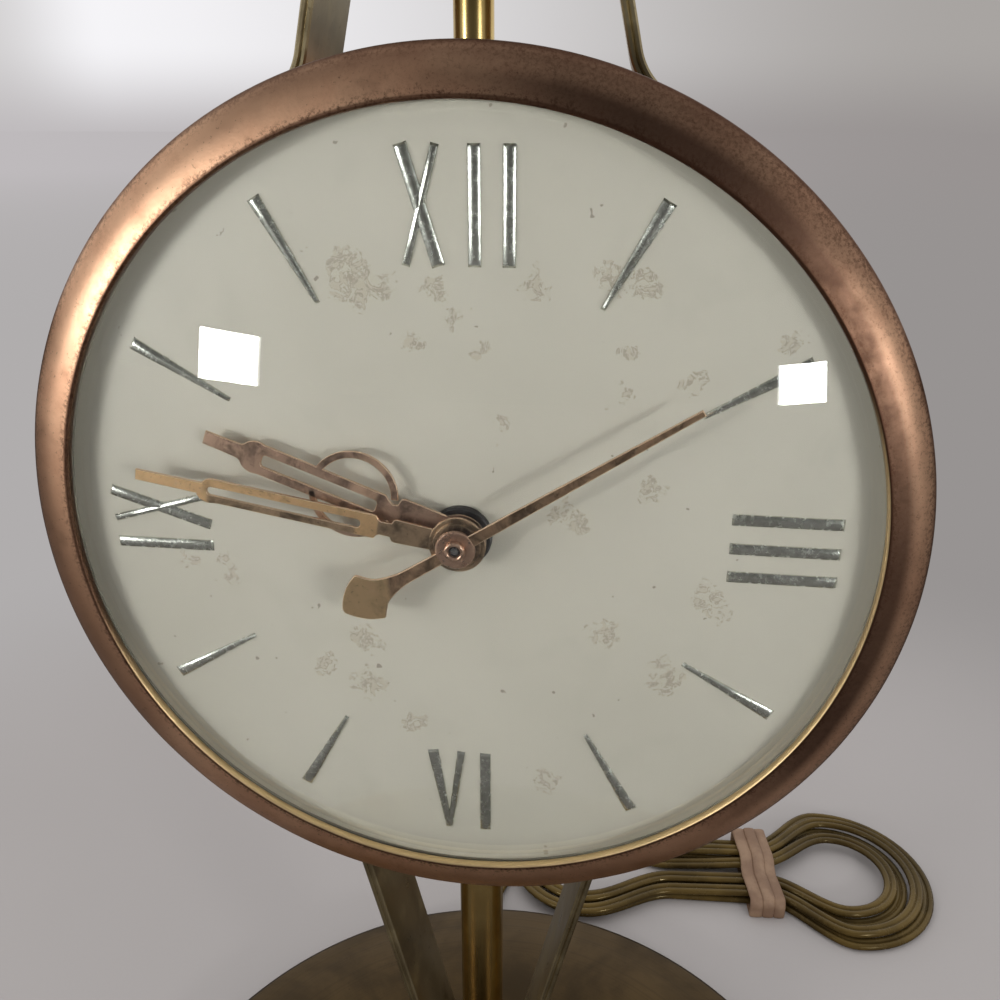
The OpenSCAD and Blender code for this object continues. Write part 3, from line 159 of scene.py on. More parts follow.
class Material(Nodes):
    """A node material whose masks come from object coordinates, in metres."""

    def __init__(self, name, **sockets):
        self.data = bpy.data.materials.new(name)
        self.data.use_nodes = True
        super().__init__(self.data.node_tree)
        self.bsdf = self.tree.nodes["Principled BSDF"]
        self.place = self.add("ShaderNodeTexCoord").outputs["Object"]
        for key, value in sockets.items():
            self.bsdf.inputs[key.replace("_", " ")].default_value = value

    def vector(self, operation, a, b, output="Vector"):
        node = self.add("ShaderNodeVectorMath", operation=operation)
        self.put(a, node.inputs[0])
        self.put(b, node.inputs[1])
        return node.outputs[output]

    def noise(self, scale, detail, rough, distortion=0.0, stretch=None):
        node = self.add("ShaderNodeTexNoise")
        place = self.vector("MULTIPLY", self.place, stretch) if stretch else self.place
        self.put(place, node.inputs["Vector"])
        for key, value in (("Scale", scale), ("Detail", detail), ("Roughness", rough),
                           ("Distortion", distortion)):
            node.inputs[key].default_value = value
        return node.outputs["Fac"]

    def radius(self, centre=DIAL_AT, keep=(1.0, 0.0, 1.0)):
        """Distance from an axis through the centre, in the directions kept."""
        flat = self.vector("MULTIPLY", self.vector("SUBTRACT", self.place, centre), keep)
        return self.vector("DISTANCE", flat, (0.0, 0.0, 0.0), "Value")

    def along(self, direction):
        """Distance from the dial's centre, measured along a direction."""
        return self.vector("DOT_PRODUCT", self.vector("SUBTRACT", self.place, DIAL_AT), direction, "Value")

    def bump(self, height, distance, strength):
        node = self.add("ShaderNodeBump")
        node.inputs["Strength"].default_value = strength
        node.inputs["Distance"].default_value = distance
        self.put(height, node.inputs["Height"])
        self.put(node.outputs[0], self.bsdf.inputs["Normal"])

    def colour(self, socket):
        self.put(socket, self.bsdf.inputs["Base Color"])

    def roughness(self, socket):
        self.put(socket, self.bsdf.inputs["Roughness"])

    def mix_shader(self, share, a, b):
        node = self.add("ShaderNodeMixShader")
        for value, socket in zip((share, a, b), node.inputs):
            self.put(value, socket)
        return node.outputs[0]

    def surface(self, shader):
        self.put(shader, self.tree.nodes["Material Output"].inputs["Surface"])


def aged_metal(name, base, dark, light, rough, blotch=70.0, speckle=900.0, amount=0.55):
    """Metal with darker blotches, fine dark specks and brighter rubbed patches."""
    m = Material(name, Metallic=1.0)
    blot = m.noise(blotch, 5.0, 0.6, 0.4)
    fine = m.noise(speckle, 3.0, 0.7)
    rub = m.noise(blotch * 2.7, 4.0, 0.6)
    m.colour(m.coat(base, (m.mask(blot, 0.42, 0.72, amount), dark), (m.mask(rub, 0.52, 0.78, 0.55), light),
                    (m.mask(fine, 0.62, 0.74, 0.6), dark)))
    m.roughness(m.mask(rub, 0.2, 0.8, rough + 0.08, rough - 0.08))
    m.bump(fine, 0.00003, 0.5)
    return m


def bezel_metal():
    """Worn copper plate; its tones go by the place round the ring and across its face, with painted shade, a
    painted reflection and a painted highlight.
    """
    m = Material("aged_copper_with_painted_light", Metallic=1.0)

    def toward(x, z, low, high):
        return m.mask(m.along((x, 0.0, z)), low, high)

    r = m.radius()
    haze = m.noise(170.0, 6.0, 0.7)
    fine = m.noise(1500.0, 3.0, 0.7)
    worn = m.noise(1900.0, 5.0, 0.75)
    # painted shade over the right side of the ring; the same mask also places darker worn patches there
    right = toward(0.86, 0.5, 0.0, 0.055)
    # painted reflection of the dark room, on the inner half of the ring at the right
    painted_dark_reflection = m.times(toward(0.93, 0.36, 0.012, 0.048), m.mask(r, 0.0726, 0.0700))
    # painted shade on the upper right of the ring, uneven with worn patches
    top = toward(0.5, 0.87, 0.061, 0.071)
    # painted shade along the outer part of the ring at the top
    crest_painted_shade = m.times(toward(0.06, 1.0, 0.055, 0.069), m.mask(r, 0.0706, 0.0738))
    # painted shade at the lower left, which cuts the lamp's highlight short
    low_left_painted_shade = toward(-0.97, -0.25, 0.060, 0.072)
    # painted shade that tones down the lamp's highlight on the inner half at the upper left
    left_highlight_painted_shade = m.times(toward(-0.8, 0.6, 0.048, 0.068), m.mask(r, 0.0710, 0.0692))
    outer = m.times(m.mask(r, 0.0728, 0.0748), m.mask(worn, 0.46, 0.60, 0.6))
    inner = m.times(m.mask(r, 0.0694, 0.0680), m.mask(worn, 0.46, 0.62, 0.7))
    # painted highlight along the inner lip's edge on the lower half of the ring
    lip_painted_highlight = m.times(m.mask(r, 0.06765, 0.06745), toward(0.35, -0.94, -0.01, 0.02))
    m.colour(m.coat(
        (246, 200, 164),
        (m.mask(m.noise(38.0, 5.0, 0.6, 0.6), 0.34, 0.68, 0.6), (206, 156, 126)),
        (m.mask(haze, 0.46, 0.72, 0.35), (160, 116, 92)),
        (m.times(right, 0.25), (92, 66, 52)),
        (m.times(painted_dark_reflection, m.mask(haze, 0.2, 0.8, 0.95, 0.78)), (80, 58, 47)),
        (m.times(top, m.mask(worn, 0.35, 0.65, 0.62, 0.35)), (84, 62, 52)),
        (m.times(crest_painted_shade, 0.62), (84, 60, 48)),
        (m.times(low_left_painted_shade, 0.7), (150, 112, 88)),
        (m.times(left_highlight_painted_shade, 0.3), (180, 134, 104)),
        # darker worn patches, kept to the right side where shade is painted
        (m.times(right, m.mask(worn, 0.50, 0.66, 0.4)), (104, 76, 56)),
        (m.mask(r, 0.0740, 0.0750, 0.8), (84, 58, 46)),
        (outer, (96, 68, 53)),
        (inner, (84, 57, 43)),
        (m.mask(fine, 0.62, 0.72, 0.5), (84, 58, 46)),
        (m.mask(r, 0.0682, 0.0678, 0.8), (84, 58, 44)),
        (lip_painted_highlight, (236, 206, 156))))
    m.roughness(m.mask(haze, 0.25, 0.75, 0.46, 0.34))
    m.bump(m.calc("ADD", fine, m.times(worn, 0.8)), 0.00003, 0.4)
    return m


# Stained patches of the dial: right and up from its centre, and radius, in millimetres
STAINS = (
    (-16.5, 41.5, 4.2), (-12.0, 40.8, 2.2), (-3.2, 40.3, 2.0), (-0.4, 36.8, 1.0), (11.8, 41.5, 1.9),
    (28.4, 42.0, 2.4), (23.0, 43.0, 2.2), (-7.5, 31.9, 0.9), (4.4, 32.3, 1.2), (25.3, 31.3, 1.1),
    (35.8, 27.5, 1.3), (25.6, 24.6, 1.2), (30.8, 10.3, 2.2), (19.0, 2.7, 2.0), (16.4, 4.6, 1.4),
    (42.0, -9.7, 3.2), (44.4, -12.2, 1.8), (24.0, -17.6, 2.2), (34.9, -25.6, 2.9), (-17.9, -21.4, 2.6),
    (-25.8, -27.9, 2.0), (-17.0, -30.0, 2.4), (-41.5, -8.6, 2.4), (-48.6, -8.4, 1.4), (-9.4, -38.8, 1.8),
    (14.9, -49.0, 2.2), (50.7, 33.6, 1.3), (6.2, 18.9, 1.1))
# How far noise moves the edge of a patch, in metres
RAGGED = 0.013


def dial_paint():
    """Pale lacquer with laced stains, specks and dust, with painted shade at its left and round its edge."""
    m = Material("dial_lacquer_with_painted_shade", Roughness=0.5)
    lace = m.noise(430.0, 4.0, 0.66, 1.3)
    inside = -1.0
    for x, z, size in STAINS:
        off = m.vector("DISTANCE", m.place, (x * MM, DIAL_Y * MM, (DIAL_H + z) * MM), "Value")
        inside = m.calc("MAXIMUM", inside, m.calc("SUBTRACT", size * MM, off))
    torn = m.times(m.calc("SUBTRACT", m.noise(260.0, 4.0, 0.65), 0.5), RAGGED)
    patch = m.mask(m.calc("ADD", inside, torn), -0.0003, 0.0005)
    border = m.times(m.mask(lace, 0.465, 0.50), m.mask(lace, 0.56, 0.525))
    m.colour(m.coat(
        (184, 179, 166),
        (m.mask(m.noise(16.0, 3.0, 0.55), 0.3, 0.7), (177, 172, 159)),
        (m.mask(m.noise(60.0, 4.0, 0.6, 0.8), 0.54, 0.72, 0.18), (160, 156, 143)),
        # painted shade, darker toward the dial's left edge
        (m.mask(m.along((-1.0, 0.0, 0.0)), 0.030, 0.066, 0.4), (160, 155, 142)),
        (m.times(patch, m.mask(lace, 0.5, 0.62, 0.30, 0.08)), (156, 137, 110)),
        (m.times(patch, m.times(border, 0.52)), (122, 110, 90)),
        (m.mask(m.noise(420.0, 2.0, 0.5), 0.755, 0.78, 0.6), (96, 82, 68)),
        (m.mask(m.noise(1300.0, 2.0, 0.6), 0.73, 0.78, 0.25), (126, 118, 104)),
        # painted shade in a ring round the dial's edge, under the bezel's lip
        (m.mask(m.radius(), 0.0620, 0.0680, 0.3), (150, 145, 130))))
    m.bump(m.times(border, patch), 0.00002, 0.1)
    return m


def bright_mark():
    """Worn bright metal of the raised hour marks."""
    m = Material("embossed_silver", Metallic=1.0)
    wear = m.noise(760.0, 5.0, 0.7)
    tint = m.mask(m.noise(160.0, 4.0, 0.6), 0.35, 0.7, 0.7)
    m.colour(m.coat((214, 216, 208), (tint, (184, 186, 176)), (m.mask(wear, 0.56, 0.70, 0.5), (120, 118, 108))))
    m.roughness(m.mask(wear, 0.3, 0.8, 0.34, 0.18))
    m.bump(wear, 0.00004, 0.4)
    return m


def hand_metal(name, angle, top, dark, bright, is_bright, rough=0.36):
    """Hand with a painted highlight round its top face's edge, lighter only where is_bright(m, along, across) says.
    """
    m = Material(name, Metallic=1.0)
    c, s = polar(1, angle)
    share = is_bright(m, m.along((s, 0.0, c)), m.along((c, 0.0, -s)))
    blot = m.noise(230.0, 5.0, 0.62, 0.5)
    pit = m.noise(1500.0, 3.0, 0.7)
    rub = m.noise(600.0, 4.0, 0.6)
    shine = m.mix(m.mask(blot, 0.45, 0.75, 0.7), bright, scaled(bright, 0.78))
    rubbed = tuple(min(v, 235) for v in scaled(dark, 1.25))
    face = (DIAL_Y - top) * MM
    # painted highlight: the chamfer just below the top face is coloured near white
    edge = m.mask(m.split(m.place)[1], face + 0.00002, face + 0.00006)
    m.colour(m.coat(
        dark, (m.mask(blot, 0.38, 0.68), scaled(dark, 0.6)), (share, shine), (m.mask(rub, 0.58, 0.74, 0.4), rubbed),
        (m.mask(pit, 0.60, 0.72, 0.5), scaled(dark, 0.42)), (m.times(edge, 0.85), (250, 218, 188))))
    m.roughness(m.mask(edge, 0.0, 1.0, 0.2, rough))
    m.bump(m.calc("ADD", pit, blot), 0.00003, 0.4)
    return m


def column_metal():
    """Lacquered tube with streaks down its length."""
    m = Material("lacquered_brass", Metallic=1.0)
    streak = m.noise(260.0, 5.0, 0.6, stretch=(1.0, 1.0, 0.08))
    cloud = m.mask(m.noise(40.0, 4.0, 0.6), 0.35, 0.7)
    m.colour(m.coat((226, 198, 132), (cloud, (184, 154, 94)), (m.mask(streak, 0.52, 0.75, 0.6), (92, 74, 38))))
    m.roughness(m.mask(streak, 0.3, 0.8, 0.3, 0.16))
    m.bump(streak, 0.00002, 0.5)
    return m


def spun_metal(name, base, dark, centre=(0.0, 0.0, 0.0)):
    """Metal with the fine rings that spinning and polishing leave round an upright axis."""
    m = Material(name, Metallic=1.0)
    waves = m.add("ShaderNodeTexNoise", noise_dimensions="1D")
    m.put(m.radius(centre, (1.0, 1.0, 0.0)), waves.inputs["W"])
    waves.inputs["Scale"].default_value = 900.0
    waves.inputs["Detail"].default_value = 3.0
    rings = waves.outputs["Fac"]
    cloud = m.noise(24.0, 5.0, 0.6, 0.5)
    specks = m.mask(m.noise(800.0, 3.0, 0.7), 0.64, 0.75, 0.5)
    m.colour(m.coat(base, (m.mask(cloud, 0.35, 0.68), dark), (m.mask(rings, 0.5, 0.7, 0.25), dark),
                    (specks, scaled(dark, 0.55))))
    m.roughness(m.mask(cloud, 0.25, 0.75, 0.43, 0.30))
    m.bump(rings, 0.00003, 0.5)
    return m


def glass_material():
    """Clear glass with fine scratches, which throws no shadow on what it covers."""
    m = Material("clear_glass", IOR=1.46, Transmission_Weight=1.0, Base_Color=(0.97, 0.985, 0.98, 1.0))
    m.roughness(m.mask(m.noise(900.0, 2.0, 0.5, stretch=(0.3, 1.0, 2.4)), 0.70, 0.78, 0.08))
    clear = m.add("ShaderNodeBsdfTransparent")
    clear.inputs[0].default_value = (0.96, 0.97, 0.965, 1.0)
    path = m.add("ShaderNodeLightPath").outputs
    m.surface(m.mix_shader(path["Is Shadow Ray"], m.bsdf.outputs[0], clear.outputs[0]))
    return m


def plain(name, base, second, rough, scale, bump=0.00002, detail=4.0, stretch=None, **sockets):
    """Plastic, rubber, felt or iron: two tones and a grain."""
    m = Material(name, **sockets)
    grain = m.noise(scale, detail, 0.6, stretch=stretch)
    cloud = m.noise(scale * 0.12, 3.0, 0.5)
    m.colour(m.coat(base, (m.mask(cloud, 0.35, 0.65), second),
                    (m.mask(grain, 0.55, 0.75, 0.35), scaled(base, 0.8))))
    m.roughness(m.mask(grain, 0.3, 0.7, min(rough + 0.1, 1.0), rough - 0.05))
    m.bump(grain, bump, 0.6)
    return m


# Where each hand is lighter, by distances from the dial's centre: on the minute hand one rail carries a painted
# highlight, on the second hand part of the tail a painted reflection
def hour_bright(m, along, across):
    near = m.times(m.mask(along, 0.0146, 0.0156), m.mask(along, 0.0206, 0.0188))
    return m.times(near, m.mask(across, 0.0, 0.0008, 0.8))


def minute_bright(m, along, across):
    # painted highlight on one of the two rails; the other rail is left dark
    rail_painted_highlight = m.times(m.mask(along, 0.0133, 0.0139), m.mask(across, -0.0002, 0.0004))
    block_end = m.times(m.mask(along, 0.0132, 0.0137), m.mask(along, 0.0175, 0.0168))
    tip = m.mask(along, 0.0418, 0.0430)
    return m.calc("MAXIMUM", rail_painted_highlight, m.calc("MAXIMUM", block_end, tip))


def second_tail_painted_reflection(m, along, across):
    # painted reflection: the outer part of the tail is lighter, cut off by a slanted line
    return m.mask(m.calc("ADD", along, m.times(across, 0.5)), -0.0130, -0.0140)


# Each hand's turn from twelve, in degrees, and its top face's height above the dial
HOUR_TURN, MINUTE_TURN, SECOND_TURN = 291.0, 280.3, 57.0
HOUR_LEVEL, MINUTE_LEVEL, SECOND_LEVEL = 2.6, 4.4, 6.4
HAND_HOUR = hand_metal("oxidised_copper", HOUR_TURN, HOUR_LEVEL, (180, 150, 130), (214, 180, 154),
                       hour_bright, 0.38)
HAND_GOLD = hand_metal("gold_lacquer", MINUTE_TURN, MINUTE_LEVEL, (176, 150, 122), (226, 188, 142),
                       minute_bright)
HAND_SECOND = hand_metal("copper_lacquer", SECOND_TURN, SECOND_LEVEL, (196, 162, 130), (224, 192, 148),
                         second_tail_painted_reflection, 0.30)
EYELET = aged_metal("copper_eyelet", (196, 162, 140), (160, 124, 104), (232, 200, 172), 0.30, 220.0, 1500.0, 0.5)
BRASS = aged_metal("aged_brass", (150, 128, 84), (84, 68, 42), (196, 170, 112), 0.32)
STRAP = aged_metal("strap_brass", (176, 162, 128), (112, 98, 74), (206, 192, 152), 0.34, 45.0, 700.0, 0.5)
COPPER = aged_metal("case_copper", (176, 126, 100), (96, 66, 52), (206, 158, 126), 0.36, 50.0)
STEEL = aged_metal("satin_steel", (168, 170, 172), (104, 104, 104), (206, 208, 210), 0.3, 90.0)
BEZEL = bezel_metal()
DIAL = dial_paint()
MARK = bright_mark()
COLUMN = column_metal()
SPUN_BASE = spun_metal("spun_brass", (84, 67, 42), (58, 46, 29))
SPUN_PAN = spun_metal("spun_copper", (184, 130, 98), (120, 80, 60), (PAN_X * MM, 0.0, 0.0))
SPUN_PAN_LEFT = spun_metal("spun_copper_left", (184, 130, 98), (120, 80, 60), (-PAN_X * MM, 0.0, 0.0))
GLASS = glass_material()
IRON = plain("black_iron", (58, 56, 54), (44, 42, 41), 0.6, 500.0, 0.00008)
FELT = plain("green_felt", (34, 44, 34), (26, 34, 27), 0.95, 2400.0, 0.0002, 6.0)
BLACK = plain("black_plastic", (34, 31, 30), (26, 24, 24), 0.45, 900.0)
COIL = plain("varnished_winding", (112, 52, 32), (78, 34, 22), 0.35, 800.0, stretch=(14.0, 1.0, 1.0))
CORD = plain("gold_brown_insulation", (94, 76, 40), (60, 47, 24), 0.2, 300.0, Specular_Tint=(1.0, 0.8, 0.42, 1.0))
BAND = plain("rubber_band", (150, 122, 98), (128, 100, 79), 0.62, 900.0, 0.00004)
PLUG = plain("brown_plastic", (66, 48, 36), (52, 38, 28), 0.42, 900.0)
# grey of the ring round the dial: partly its own finish, partly painted shade of the glass edge
RING_GREY_AND_SHADE = plain("ring_grey_with_painted_shade", (132, 128, 116), (116, 112, 102), 0.5, 500.0)

BY_SLOT = {
    "brass": BRASS, "dark_brass": COLUMN, "copper": COPPER, "steel": STEEL, "marks": MARK,
    "dial": DIAL, "glass": GLASS, "iron": IRON, "felt": FELT, "black": BLACK, "coil": COIL,
    "hand_dark": HAND_HOUR, "hand_gold": HAND_GOLD, "cord": CORD, "band": BAND, "plug": PLUG,
}
for part in frame["record"]["subparts"]:
    node = frame["nodes"][part["node"]]
    node.data.materials.clear()
    node.data.materials.append(BY_SLOT[part["material_slot"]].data)
# the ring round the dial takes the grey that is partly painted shade
frame["nodes"]["dial_ring"].data.materials[0] = RING_GREY_AND_SHADE.data

# ---- mesh helpers
def unit2(x, y):
    size = math.hypot(x, y)
    return x / size, y / size


def arc(cx, cy, r, a0, a1, n):
    return [polar(r, a0 + (a1 - a0) * i / n, cx, cy) for i in range(n + 1)]


def circle(r, n, cx=0.0, cy=0.0):
    return arc(cx, cy, r, 0, 360, n)[:-1]


# Ways to place a drawing: from the front, from behind the drum, and flat on the table
def front(x, z, h):
    """Sideways and up from the dial's centre, h before the dial."""
    return (x, DIAL_Y - h, DIAL_H + z)


def behind(x, z, h):
    """Sideways and up from the dial's centre, h behind the drum's back."""
    return x, DRUM_BACK + h, DIAL_H + z


def upright(x, y, z):
    return x, y, z


def beam_plane(x, z, y):
    return x, y, z


def build(name, parts, material, body, replaces=(), bevel=0.0, segments=2, sharp=38.0):
    """One piece from solids given as (points in millimetres, faces)."""
    bm = bmesh.new()
    for points, faces in parts:
        verts = [bm.verts.new(Vector(p) * MM) for p in points]
        for face in faces:
            bm.faces.new([verts[i] for i in face])
    bmesh.ops.recalc_face_normals(bm, faces=bm.faces)
    limit = math.radians(sharp)
    if bevel:
        edges = [e for e in bm.edges if len(e.link_faces) == 2 and e.calc_face_angle(0.0) > limit]
        bmesh.ops.bevel(bm, geom=edges, offset=bevel * MM, segments=segments, profile=0.5,
                        affect="EDGES", clamp_overlap=True)
        limit = math.radians(60.0)
    for face in bm.faces:
        face.smooth = True
    for edge in bm.edges:
        edge.smooth = edge.calc_face_angle(0.0) <= limit
    mesh = bpy.data.meshes.new(name)
    bm.to_mesh(mesh)
    bm.free()
    mesh.materials.append(material.data)
    piece = bpy.data.objects.new(name, mesh)
    bpy.context.collection.objects.link(piece)
    if bevel:
        weighted = piece.modifiers.new("weighted_normals", "WEIGHTED_NORMAL")
        weighted.keep_sharp = True
    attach(piece, body)
    if replaces:
        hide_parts(*replaces)
    return piece


def row_faces(a, b, n):
    """Quads between two closed rows of n points that start at a and at b."""
    return [(a + k, a + (k + 1) % n, b + (k + 1) % n, b + k) for k in range(n)]


def loft(rows, closed=False):
    """A solid through rows of equally many points, with flat ends or closed to a ring."""
    n, m = len(rows[0]), len(rows)
    faces = []
    for i in range(m if closed else m - 1):
        faces += row_faces(i * n, (i + 1) % m * n, n)
    if not closed:
        faces += [tuple(range(n)), tuple(range((m - 1) * n, m * n))]
    return [point for row in rows for point in row], faces


def lathe(profile, n, centre=(0.0, 0.0), facing=False):
    """Solid of revolution from (radius, height) points in order round the section.

    Heights run up from the table about the column's axis, or with facing, forward from the dial
    about an axis at that place from the dial's centre."""
    rings, points, faces = [], [], []
    for r, h in profile:
        around = circle(r, n, *centre) if r > 1e-6 else [centre]
        rings.append(range(len(points), len(points) + len(around)))
        points += [front(x, y, h) if facing else (x, y, h) for x, y in around]
    closed = len(rings[0]) > 1 and len(rings[-1]) > 1
    for a, b in zip(rings, rings[1:] + rings[:closed]):
        if len(a) > 1 and len(b) > 1:
            faces += row_faces(a[0], b[0], n)
        elif len(a) > 1:
            faces += [(a[i], a[(i + 1) % n], b[0]) for i in range(n)]
        elif len(b) > 1:
            faces += [(a[0], b[(i + 1) % n], b[i]) for i in range(n)]
    return points, faces


def prism(outline, to_3d, low, high):
    """An outline drawn between two levels; to_3d(x, y, level) places a point."""
    return loft([[to_3d(x, y, level) for x, y in outline] for level in (low, high)])


def inset(loop, by):
    """A closed outline moved to its own left."""
    out = []
    for i, (x, y) in enumerate(loop):
        ux, uy = unit2(x - loop[i - 1][0], y - loop[i - 1][1])
        nx, ny = loop[(i + 1) % len(loop)]
        vx, vy = unit2(nx - x, ny - y)
        k = by / max(1 + ux * vx + uy * vy, 0.5)
        out.append((x - (uy + vy) * k, y + (ux + vx) * k))
    return out


def plate(loops, to_3d, low, high, edge):
    """A flat plate from its outline and holes, with a chamfer round the upper face."""
    turned = []
    for i, loop in enumerate(loops):
        size = sum(x * loop[k - 1][1] - y * loop[k - 1][0] for k, (x, y) in enumerate(loop))
        turned.append(loop if (size < 0) == (i == 0) else loop[::-1])
    tris = geometry.tessellate_polygon([[Vector((x, y, 0)) for x, y in loop] for loop in turned])
    points, faces, rows = [], [], []
    for shift, level in ((0.0, low), (0.0, high - edge), (edge, high)):
        rows.append(len(points))
        points += [to_3d(x, y, level) for loop in turned for x, y in (inset(loop, shift) if shift else loop)]
    start = 0
    for loop in turned:
        for a, b in zip(rows, rows[1:]):
            faces += row_faces(a + start, b + start, len(loop))
        start += len(loop)
    faces += [tuple(rows[0] + i for i in reversed(tri)) for tri in tris]
    faces += [tuple(rows[2] + i for i in tri) for tri in tris]
    return points, faces


def sweep(path, frames, section, closed=False):
    """A section carried along a path; frames gives the two cross directions at each point."""
    return loft([[p + u * x + v * y for x, y in section] for p, (u, v) in zip(path, frames)], closed)


def ring(centre, r, wire, u, v, n=48, k=12):
    """A wire ring lying in the plane of two unit directions."""
    outs = [u * x + v * y for x, y in circle(1.0, n)]
    return sweep([Vector(centre) + out * r for out in outs], [(out, u.cross(v)) for out in outs],
                 circle(wire / 2, k), closed=True)


def flat_ring(to_3d, cx, cy, r_out, r_in, low, high, n=56):
    """A washer between two levels."""
    points = [to_3d(x, y, h) for h in (low, high) for r in (r_out, r_in) for x, y in circle(r, n, cx, cy)]
    return points, [face for a, b in ((0, 1), (3, 2), (2, 0), (1, 3)) for face in row_faces(a * n, b * n, n)]


def directions(points):
    """Unit directions of a path at its points."""
    ends = [points[0]] + points + [points[-1]]
    return [(b - a).normalized() for a, b in zip(ends, ends[2:])]


def smooth(points, n):
    """Points added between the given ones, on a curve that passes through them all."""
    out = []
    for i in range(len(points) - 1):
        a, b, c, d = points[max(i - 1, 0)], points[i], points[i + 1], points[min(i + 2, len(points) - 1)]
        for k in range(n):
            s = k / n
            out.append(0.5 * ((2 * b) + (c - a) * s + (2 * a - 5 * b + 4 * c - d) * s * s
                              + (3 * b - a - 3 * c + d) * s ** 3))
    return out + [points[-1]]


def screw(centre, out, r, t, slot_w, across):
    """A domed slotted screw head; out is the direction it faces."""
    c, w, u = Vector(centre), Vector(out), Vector(across)
    v = w.cross(u)

    def lay(x, y, h):
        return c + u * x + v * y + w * h

    profile = ((r, 0), (r, t * 0.35), (r * 0.86, t * 0.72), (r * 0.5, t * 0.95))
    parts = [loft([[lay(x, y, h) for x, y in circle(rr, 28)] for rr, h in profile])]
    # two halves of a raised crown leave the slot between them
    crown_r, slot_half = r * 0.82, slot_w / 2
    corner = math.sqrt(crown_r ** 2 - slot_half ** 2)
    rim = [(x, y) for x, y in arc(0, 0, crown_r, 0, 180, 12) if y > slot_half]
    crown = [(corner, slot_half)] + rim + [(-corner, slot_half)]
    return parts + [prism([(x, s * y) for x, y in crown], lay, t * 0.5, t) for s in (-1, 1)]


def lathed(name, profile, material, slot, replaces=(), body="stand", n=160, sharp=38.0, **more):
    return build(name, [lathe(profile, n, **more)], material, body, replaces, sharp=sharp)


X, Y, Z = Vector((1, 0, 0)), Vector((0, 1, 0)), Vector((0, 0, 1))

# ---- lead
CORD_W, CORD_T = 4.8, 2.6
FLOOR_Z = CORD_T / 2 + 0.15
EXIT_Y, EXIT_Z = 14.0, 116.0
BASE_TOP, BASE_RIM, FLAT_R, SHOULDER = 23.0, 10.0, 14.0, 5.0
DOME_RISE, DOME_RUN = BASE_TOP - BASE_RIM, BASE_R - SHOULDER - FLAT_R


def dome_z(r):
    """Height of the base's top at a radius."""
    return BASE_RIM + DOME_RISE * (1 - (max(r - FLAT_R, 0) / DOME_RUN) ** 2)


def drop_route():
    """From the sleeve down behind the column, out over the base and onto the table."""
    low = BASE_TOP + 12
    pts = [(0, EXIT_Y, EXIT_Z)]
    pts += [(x, EXIT_Y, EXIT_Z + k * (low - EXIT_Z)) for x, k in
            ((0, 0.1), (-0.4, 0.26), (-0.9, 0.44), (-1.5, 0.62), (-2.1, 0.8))]
    pts += [(-2.8, 15.5, low + 1.5), (-3.6, 20, BASE_TOP + 6), (-4.6, 27.5, BASE_TOP + 2.6)]
    pts += [(x, k * BASE_R, dome_z(math.hypot(x, k * BASE_R)) + CORD_T / 2 + 0.2) for x, k in
            ((-5.6, 0.36), (-7, 0.47), (-8.4, 0.58), (-9.8, 0.69), (-11, 0.8), (-12, 0.9))]
    pts += [(-12.6, BASE_R - 3, BASE_RIM + 1.3), (-12.8, BASE_R + 3.4, BASE_RIM - 2.6),
            (-12.4, BASE_R + 9.5, 3.2), (-11, BASE_R + 16.5, 1.8), (-8.9, BASE_R + 23.5, FLOOR_Z)]
    return [Vector(p) for p in pts]


# The hank: its place, its folds' and runs' measures, and how one turn is shared out
HANK_X, HANK_Y, HANK_TURN = 68.0, BASE_R + 34.5, 4
HANK_L, HANK_R, RAMP_L, RAMP_R, FOLD_L, FOLD_R = 48.0, 51.0, 34.0, 30.0, 14.4, 17.0
WAIST, STEP, STEP_R, LAYER = 2.9, 6.3, 9.2, 3.1
TURNS, TURN_BACK, QUARTER, RUN, CLIMB = 4, 2.245, 0.09, 0.31, 0.2
TAIL_BEND, PLUG_U, PLUG_V, PLUG_Z = 25.0, -41.0, 59.0, 8.05
BLADE_Y, BLADE_T = 6.35, 1.4


def ease(k):
    return (1 - math.cos(math.pi * min(max(k, 0), 1))) / 2


def hank_place(u, v, z):
    """A point drawn along and across the hank."""
    c, s = polar(1, HANK_TURN)
    return Vector((HANK_X + u * c - v * s, HANK_Y + u * s + v * c, z))


def hank_point(t):
    """The cord's middle after t turns, from the left fold's far end; it climbs a layer once."""
    i = abs(t - TURN_BACK)
    f = t - math.floor(t)
    left, right, waist = FOLD_L + i * STEP, FOLD_R + i * STEP_R, WAIST + i * STEP

    def side(u):
        return (waist + (left - waist) * ease((-u - HANK_L + RAMP_L) / RAMP_L)
                + (right - waist) * ease((u - HANK_R + RAMP_R) / RAMP_R))

    def fold(u, r, degrees):
        return polar(r, degrees, u)

    span = HANK_L + HANK_R
    if f < QUARTER:
        u, v = fold(-HANK_L, left, 180 - 90 * f / QUARTER)
    elif f < QUARTER + RUN:
        u = -HANK_L + span * (f - QUARTER) / RUN
        v = side(u)
    elif f < 1 - QUARTER - RUN:
        u, v = fold(HANK_R, right, 90 - 180 * (f - QUARTER - RUN) / (1 - 2 * QUARTER - 2 * RUN))
    elif f < 1 - QUARTER:
        u = HANK_R - span * (f - 1 + QUARTER + RUN) / RUN
        v = -side(u)
    else:
        u, v = fold(-HANK_L, left, 270 - 90 * (f - 1 + QUARTER) / QUARTER)
    return hank_place(u, v, FLOOR_Z + LAYER * ease((t - TURN_BACK + CLIMB / 2) / CLIMB))


